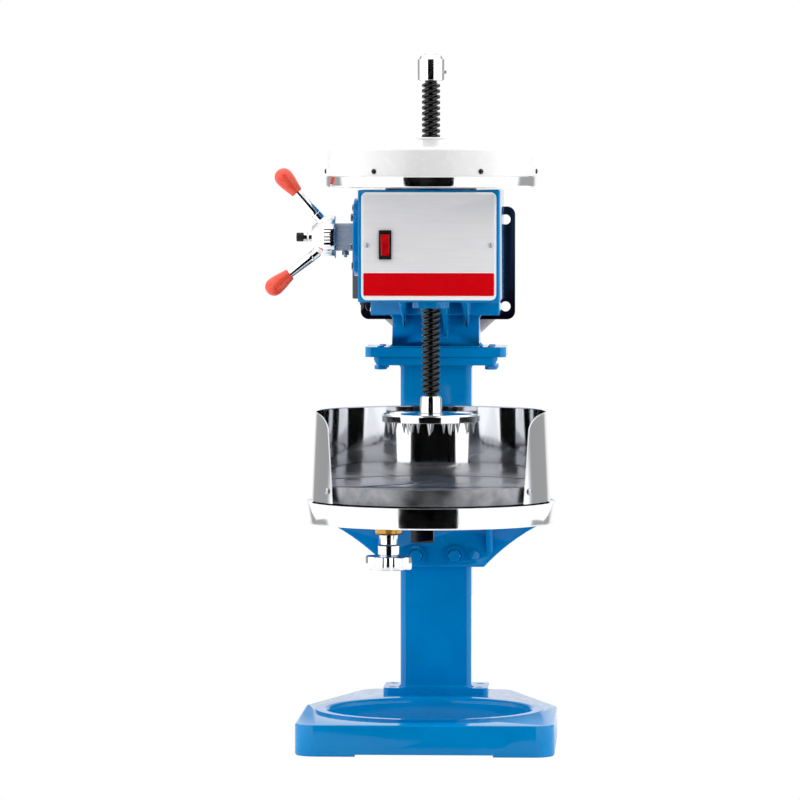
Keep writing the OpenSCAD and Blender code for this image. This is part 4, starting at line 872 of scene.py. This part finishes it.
def press_parts():
    low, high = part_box("screw_cap")
    r = (high.x - low.x) / 2
    crown = 7 * MM
    journal = 7.05 * MM
    bore = low.z + 20 * MM
    turned("screw_cap", [(0, bore, 0), (journal, bore, 0), (journal, low.z, 0.4 * MM), (r - 0.4 * MM, low.z, 0.9 * MM),
                         (r, low.z + 1.2 * MM, 0.8 * MM), (r, high.z - crown, 3 * MM),
                         (r * 0.72, high.z - crown * 0.28, 6 * MM), (r * 0.35, high.z, 6 * MM), (0, high.z, 0)], steps=128)
    low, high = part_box("cap_set_screw")
    z = (low.z + high.z) / 2
    outward = Matrix.Translation((low.x, SPINDLE.y, z)) @ Matrix.Rotation(math.pi / 2, 4, "Y")
    length = high.x - low.x
    turned("cap_set_screw", [(0, 0, 0), (2.2 * MM, 0, 0), (3 * MM, 1 * MM, 0), (3 * MM, length, 0.4 * MM),
                             (1.6 * MM, length, 0), (1.6 * MM, length - 2.5 * MM, 0), (0, length - 2.5 * MM, 0)],
           outward, steps=48)
    low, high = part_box("press_disc")
    r = (high.x - low.x) / 2
    hub = 15 * MM
    top = low.z + 12 * MM
    turned("press_disc", [(0, low.z, 0), (r - 1 * MM, low.z, 0.6 * MM), (r, low.z + 1 * MM, 0.6 * MM),
                          (r, top - 2.5 * MM, 1.2 * MM), (r - 3 * MM, top, 2 * MM), (hub + 1.5 * MM, top, 1.4 * MM),
                          (hub, top + 2 * MM, 1.4 * MM), (hub, high.z - 1.5 * MM, 1 * MM), (hub - 1.5 * MM, high.z, 0.5 * MM),
                          (7.05 * MM, high.z, 0), (7.05 * MM, top, 0), (0, top, 0)], steps=160)
    spike_low, spike_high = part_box("disc_spikes")
    length = spike_high.z - spike_low.z
    unit = turned_mesh("spike", [(0, -length, 0), (0.5 * MM, -length + 0.2 * MM, 0), (1.4 * MM, -length * 0.72, 2 * MM),
                                (4 * MM, 0, 0), (0, 0, 0)], steps=24)
    fasteners("disc_spikes", unit, [((c.x, c.y, spike_high.z), (0, 0, 0)) for c in map(middle, solids("disc_spikes"))])


# ---------- handle ----------

def lever_frames():
    """A frame for each lever, its z out along the lever, in the order of their angle."""
    apex = -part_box("handle_hub")[1].x
    count = len(solids("levers"))
    found = []
    for i in range(count):
        turn = 2 * math.pi * i / count
        # The upper lever leans out a little more than the lower one
        tilt = math.radians(44 + 5 * math.cos(turn))
        found.append(HANDLE @ Matrix.Rotation(turn, 4, "Z") @ Matrix.Translation((0, 0, apex))
                     @ Matrix.Rotation(tilt, 4, "Y"))
    return found


def handle():
    eased("handle_shaft", 0.5 * MM, 2)
    eased("bevel_pinion", 0.2 * MM, 1)
    eased("handle_hub", 0.9 * MM, 3)
    seat = 26.5 * MM
    total = 125 * MM
    rod = total - 42 * MM
    stud = rod + 14 * MM
    root = 7.4 * MM
    end = 6 * MM
    groove = 43 * MM
    lever = [(0, seat, 0), (root, seat, 0), (root, groove - 0.8 * MM, 0.2 * MM), (root - 0.7 * MM, groove, 0.2 * MM),
             (root, groove + 0.8 * MM, 0.2 * MM), (root, seat + 20 * MM, 1 * MM), (end, rod, 0), (4 * MM, rod, 0),
             (4 * MM, stud, 0.5 * MM), (0, stud, 0)]
    # A pear-shaped knob: half a ball at its end, drawn in to the rod
    ball = 13 * MM
    knob = [(4 * MM, stud, 0), (4 * MM, rod, 0), (8.2 * MM, rod, 0.6 * MM), (8.9 * MM, rod + 1.2 * MM, 0.6 * MM)]
    knob += [(8.9 * MM + (ball - 8.9 * MM) * math.sin(math.pi / 2 * k / 8) ** 1.4, rod + (1.2 + 27.8 * k / 8) * MM, 0)
             for k in range(1, 8)]
    knob += [(ball * math.cos(math.pi / 2 * k / 10), total - ball + ball * math.sin(math.pi / 2 * k / 10), 0)
             for k in range(11)]
    for node, section, slot in (("levers", lever, "polished_steel"), ("lever_knobs", knob, "knob_red")):
        places = []
        unit = turned_mesh(node, section, steps=64)
        for turn in lever_frames():
            places.append((turn.translation, tuple(turn.to_euler("XYZ"))))
        fasteners(node, unit, places, FINISHES[slot], 40)
    low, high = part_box("lock_stud")
    stud_end = -low.x
    nose = -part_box("handle_hub")[0].x
    turned("lock_stud", [(0, nose - 4 * MM, 0), (4 * MM, nose - 4 * MM, 0), (4 * MM, nose, 0), (7.5 * MM, nose, 0.3 * MM),
                         (7.5 * MM, nose + 4.4 * MM, 0.4 * MM), (6 * MM, nose + 5 * MM, 0.3 * MM),
                         (6 * MM, nose + 7 * MM, 0.3 * MM), (7.5 * MM, nose + 7.6 * MM, 0.4 * MM),
                         (7.5 * MM, stud_end, 0.8 * MM), (3.05 * MM, stud_end, 0), (3.05 * MM, nose + 3 * MM, 0),
                         (0, nose + 3 * MM, 0)], HANDLE)
    low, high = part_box("lock_knob")
    start = -high.x
    end_x = -low.x
    head = end_x - 10 * MM
    ribs = 24
    rings = []
    for r, z, cut in ((0.4, start, 0), (3.0, start, 0), (3.0, head, 0), (5.6, head, 0), (6.3, head + 0.7 * MM, 1),
                      (6.3, end_x - 0.7 * MM, 1), (5.6, end_x, 0), (3.6, end_x, 0), (3.2, end_x - 0.8 * MM, 0), (0.4, end_x - 0.8 * MM, 0)):
        ring = []
        for k in range(ribs * 4):
            a = 2 * math.pi * k / (ribs * 4)
            ring.append(HANDLE @ Vector(((r * MM - cut * 0.35 * MM * (k % 4 == 0)) * math.cos(a),
                                         (r * MM - cut * 0.35 * MM * (k % 4 == 0)) * math.sin(a), z)))
        rings.append(ring)
    mesh = skin("lock_knob_finish", rings, caps=(True, True))
    smooth_mesh(mesh, 25)
    claim(new_object("lock_knob_finish", mesh), "lock_knob")
    eased("handle_sleeve", 0.7 * MM)
    eased("grease_nipple", 0.3 * MM, 2)


# ---------- panel and switch ----------

def panel():
    eased("front_panel", 0.6 * MM, 3)
    eased("panel_stripe", 0.12 * MM, 1)
    eased("switch_bezel", 0.6 * MM, 3)
    eased("switch_rocker", 0.5 * MM, 3)


# ---------- belt drive ----------

def pear(radius, rear, steps_front=150, steps_rear=50):
    """The outline of the guard: a big arc round the spindle and a small one round the motor shaft."""
    offset = MOTOR_Y - SPINDLE.y
    lean = math.asin((radius - rear) / offset)
    points = []
    for k in range(steps_front + 1):
        a = math.pi - lean + (math.pi + 2 * lean) * k / steps_front
        points.append(Vector((SPINDLE.x + radius * math.cos(a), SPINDLE.y + radius * math.sin(a))))
    for k in range(steps_rear + 1):
        a = lean + (math.pi - 2 * lean) * k / steps_rear
        points.append(Vector((SPINDLE.x + rear * math.cos(a), MOTOR_Y + rear * math.sin(a))))
    return points


def guard():
    low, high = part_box("guard_cover")
    radius = (high.x - low.x) / 2
    rear = high.y - MOTOR_Y
    shoulder = low.z + 40 * MM
    rise = high.z - shoulder
    sheet = 3 * MM
    edge = 5 * MM
    dome = radius - 2 * MM
    ball = (dome * dome + rise * rise) / (2 * rise)

    def top(x, y):
        out = math.hypot(x - SPINDLE.x, y - SPINDLE.y)
        if out >= dome:
            return shoulder
        return shoulder + rise - ball + math.sqrt(ball * ball - out * out)

    levels = []
    for inset, z in ((0.6 * MM, low.z), (0, low.z + 0.8 * MM), (0, shoulder - edge)):
        levels.append([(p.x, p.y, z) for p in pear(radius - inset, rear - inset)])
    arc_steps = 8
    for k in range(1, arc_steps + 1):
        a = math.pi / 2 * k / arc_steps
        inset = edge * (1 - math.cos(a))
        drop = edge * (1 - math.sin(a))
        levels.append([(p.x, p.y, top(p.x, p.y) - drop) for p in pear(radius - inset, rear - inset)])
    rim = pear(radius - edge, rear - edge)
    hole = 17 * MM
    shares = 26
    for k in range(1, shares + 1):
        share = (1 - k / shares) ** 1.0
        ring = []
        for p in rim:
            out = p - SPINDLE.xy
            reach = hole + (out.length - hole) * share
            q = SPINDLE.xy + out.normalized() * reach
            ring.append((q.x, q.y, top(q.x, q.y)))
        levels.append(ring)
    mesh = skin("guard_cover_finish", levels)
    piece = new_object("guard_cover_finish", mesh, FINISHES["cover_white"])
    wall = piece.modifiers.new("sheet", "SOLIDIFY")
    wall.thickness = sheet
    wall.offset = -1
    settle(piece, "guard_cover", 35)
    low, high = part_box("guard_tray")
    tray_top = low_z("guard_cover")
    radius = (high.x - low.x) / 2
    rear = high.y - MOTOR_Y
    lip = 2 * MM
    floor = 2.5 * MM
    levels = []
    for inset, z in ((radius - 26 * MM, low.z), (5 * MM, low.z), (2.6 * MM, low.z + 0.35 * MM), (0.9 * MM, low.z + 1.4 * MM),
                     (0, low.z + 3.2 * MM), (0, tray_top - 0.8 * MM), (0.6 * MM, tray_top), (lip - 0.3 * MM, tray_top),
                     (lip, tray_top - 0.4 * MM), (lip, low.z + floor + 1.5 * MM), (lip + 1.5 * MM, low.z + floor),
                     (radius - 26 * MM, low.z + floor)):
        if inset > 100 * MM:
            levels.append([])
            continue
        levels.append([(p.x, p.y, z) for p in pear(radius - inset, rear - inset)])
    rim = [Vector(p[:2]) for p in levels[1]]
    hub = 24 * MM
    around = [SPINDLE.xy + (p - SPINDLE.xy).normalized() * hub for p in rim]
    levels[0] = [(p.x, p.y, low.z) for p in around]
    levels[-1] = [(p.x, p.y, low.z + floor) for p in around]
    levels.append(levels[0])
    mesh = skin("guard_tray_finish", levels)
    smooth_mesh(mesh, 35)
    claim(new_object("guard_tray_finish", mesh), "guard_tray")
    low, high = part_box("cover_bush")
    r = (high.x - low.x) / 2
    hole = 14 * MM
    skirt = 16.9 * MM
    seat = high.z - 2.6 * MM
    turned("cover_bush", [(hole, low.z, 0.3 * MM), (skirt, low.z, 0.3 * MM), (skirt, seat, 0), (r, seat, 0.6 * MM),
                          (r, high.z, 1.4 * MM), (hole, high.z, 1 * MM)], closed=True)


def drive():
    for node in ("large_pulley", "motor_pulley", "spindle_sleeve", "spindle_bearings", "feed_nut", "drive_key",
                 "motor_shaft", "motor_stator", "drive_belt"):
        eased(node, 0.3 * MM, 2)


def motor():
    eased("motor_plate", 0.9 * MM, 3)
    eased("motor_housing", 0.6 * MM, 2)
    eased("motor_end_bell", 1.0 * MM, 3)
    eased("terminal_box", 1.6 * MM, 3)
    eased("cable_gland", 0.4 * MM, 2)


# ---------- studio ----------

def card(name, centre, size, facing, strength, seen_by_light=True):
    """A flat card that only the object sees: bright if it has strength, black if it has none."""
    mesh = bpy.data.meshes.new(name)
    w, h = size[0] / 2, size[1] / 2
    mesh.from_pydata([(-w, -h, 0), (w, -h, 0), (w, h, 0), (-w, h, 0)], [], [(0, 1, 2, 3)])
    piece = new_object(name, mesh)
    piece.location = centre
    piece.rotation_euler = (Vector(facing) - Vector(centre)).to_track_quat("Z", "Y").to_euler()
    material = bpy.data.materials.new(name)
    material.use_nodes = True
    tree = material.node_tree
    tree.nodes.clear()
    glow = add(tree, "ShaderNodeEmission", {"Color": (1, 1, 1, 1), "Strength": strength})
    add(tree, "ShaderNodeOutputMaterial", {"Surface": glow.outputs["Emission"]})
    mesh.materials.append(material)
    piece.visible_camera = False
    piece.visible_shadow = False
    piece.visible_diffuse = seen_by_light
    return piece


def studio():
    """A white tent: bright at the sides and above, dim behind the object, open towards the camera."""
    scene = bpy.context.scene
    scene.view_settings.view_transform = "Standard"
    world = bpy.data.worlds.new("white_tent")
    scene.world = world
    world.use_nodes = True
    tree = world.node_tree
    tree.nodes.clear()
    side = add(tree, "ShaderNodeSeparateXYZ", {"Vector": add(tree, "ShaderNodeTexCoord").outputs["Generated"]})
    # The walls are bright at the sides, dim at the two rear corners, and bright again straight behind
    rear = add(tree, "ShaderNodeMapRange", {"Value": side.outputs["Y"], "From Min": 0.28, "From Max": 0.48,
                                            "To Min": 1.6, "To Max": 0.4}, interpolation_type="SMOOTHSTEP")
    behind = add(tree, "ShaderNodeMapRange", {"Value": side.outputs["Y"], "From Min": 0.88, "From Max": 0.96,
                                              "To Min": 0.0, "To Max": 1.0}, interpolation_type="SMOOTHSTEP")
    above = add(tree, "ShaderNodeMapRange", {"Value": side.outputs["Z"], "From Min": 0.3, "From Max": 0.7,
                                             "To Min": 0.0, "To Max": 1.0})
    walls = add(tree, "ShaderNodeMix", {0: behind.outputs["Result"], 2: rear.outputs["Result"], 3: 1.0})
    lit = add(tree, "ShaderNodeMix", {0: above.outputs["Result"], 2: walls.outputs[0], 3: 1.5})
    seen = add(tree, "ShaderNodeLightPath").outputs["Is Camera Ray"]
    strength = add(tree, "ShaderNodeMix", {0: seen, 2: lit.outputs[0], 3: 1.0})
    back = add(tree, "ShaderNodeBackground", {"Color": (1, 1, 1, 1), "Strength": strength.outputs[0]})
    add(tree, "ShaderNodeOutputWorld", {"Surface": back.outputs["Background"]})
    # The sweep under the object is as white as the wall, so the camera sees one white field.
    # It shows only in the round opening of the base, where it lies in shade.
    pale, _, _, _ = finish("pale_floor", "#F2F2F2", 0.8)
    for name, reach, seen_by_camera in (("floor", 2.5, False), ("floor_in_opening", 0.16, True)):
        mesh = bpy.data.meshes.new(name)
        z = 0.0 if seen_by_camera else -0.5 * MM
        mesh.from_pydata([(-reach, -reach, z), (reach, -reach, z), (reach, reach, z), (-reach, reach, z)], [],
                         [(0, 1, 2, 3)])
        sweep = new_object(name, mesh, pale)
        sweep.visible_camera = seen_by_camera
    # The dark room behind the camera shows between two white screens
    card("dark_gap", (0, -0.66, 0.62), (0.66, 1.7), (0, 0, 0.62), 0.0)


def camera():
    """A long lens, a little above the pan and to the right of straight ahead."""
    yaw = math.radians(2.6)
    pitch = math.radians(2.637)
    distance = 7.5
    side = 43.8 * MM
    height = 825 * MM
    eye = bpy.data.cameras.new("camera")
    eye.sensor_width = 36
    eye.lens = 238.7
    eye.clip_end = 100
    holder = bpy.data.objects.new("camera", eye)
    bpy.context.scene.collection.objects.link(holder)
    holder.location = (SPINDLE.x - side * math.cos(yaw) + distance * math.sin(yaw),
                       SPINDLE.y - side * math.sin(yaw) - distance * math.cos(yaw), height)
    holder.rotation_euler = (math.pi / 2 - pitch, 0, yaw)
    bpy.context.scene.camera = holder


frame_castings()
frame_bolts()
pan_ring()
table()
hood()
small_screws()
adjuster()
press_screw()
press_parts()
handle()
panel()
guard()
drive()
motor()
studio()
camera()
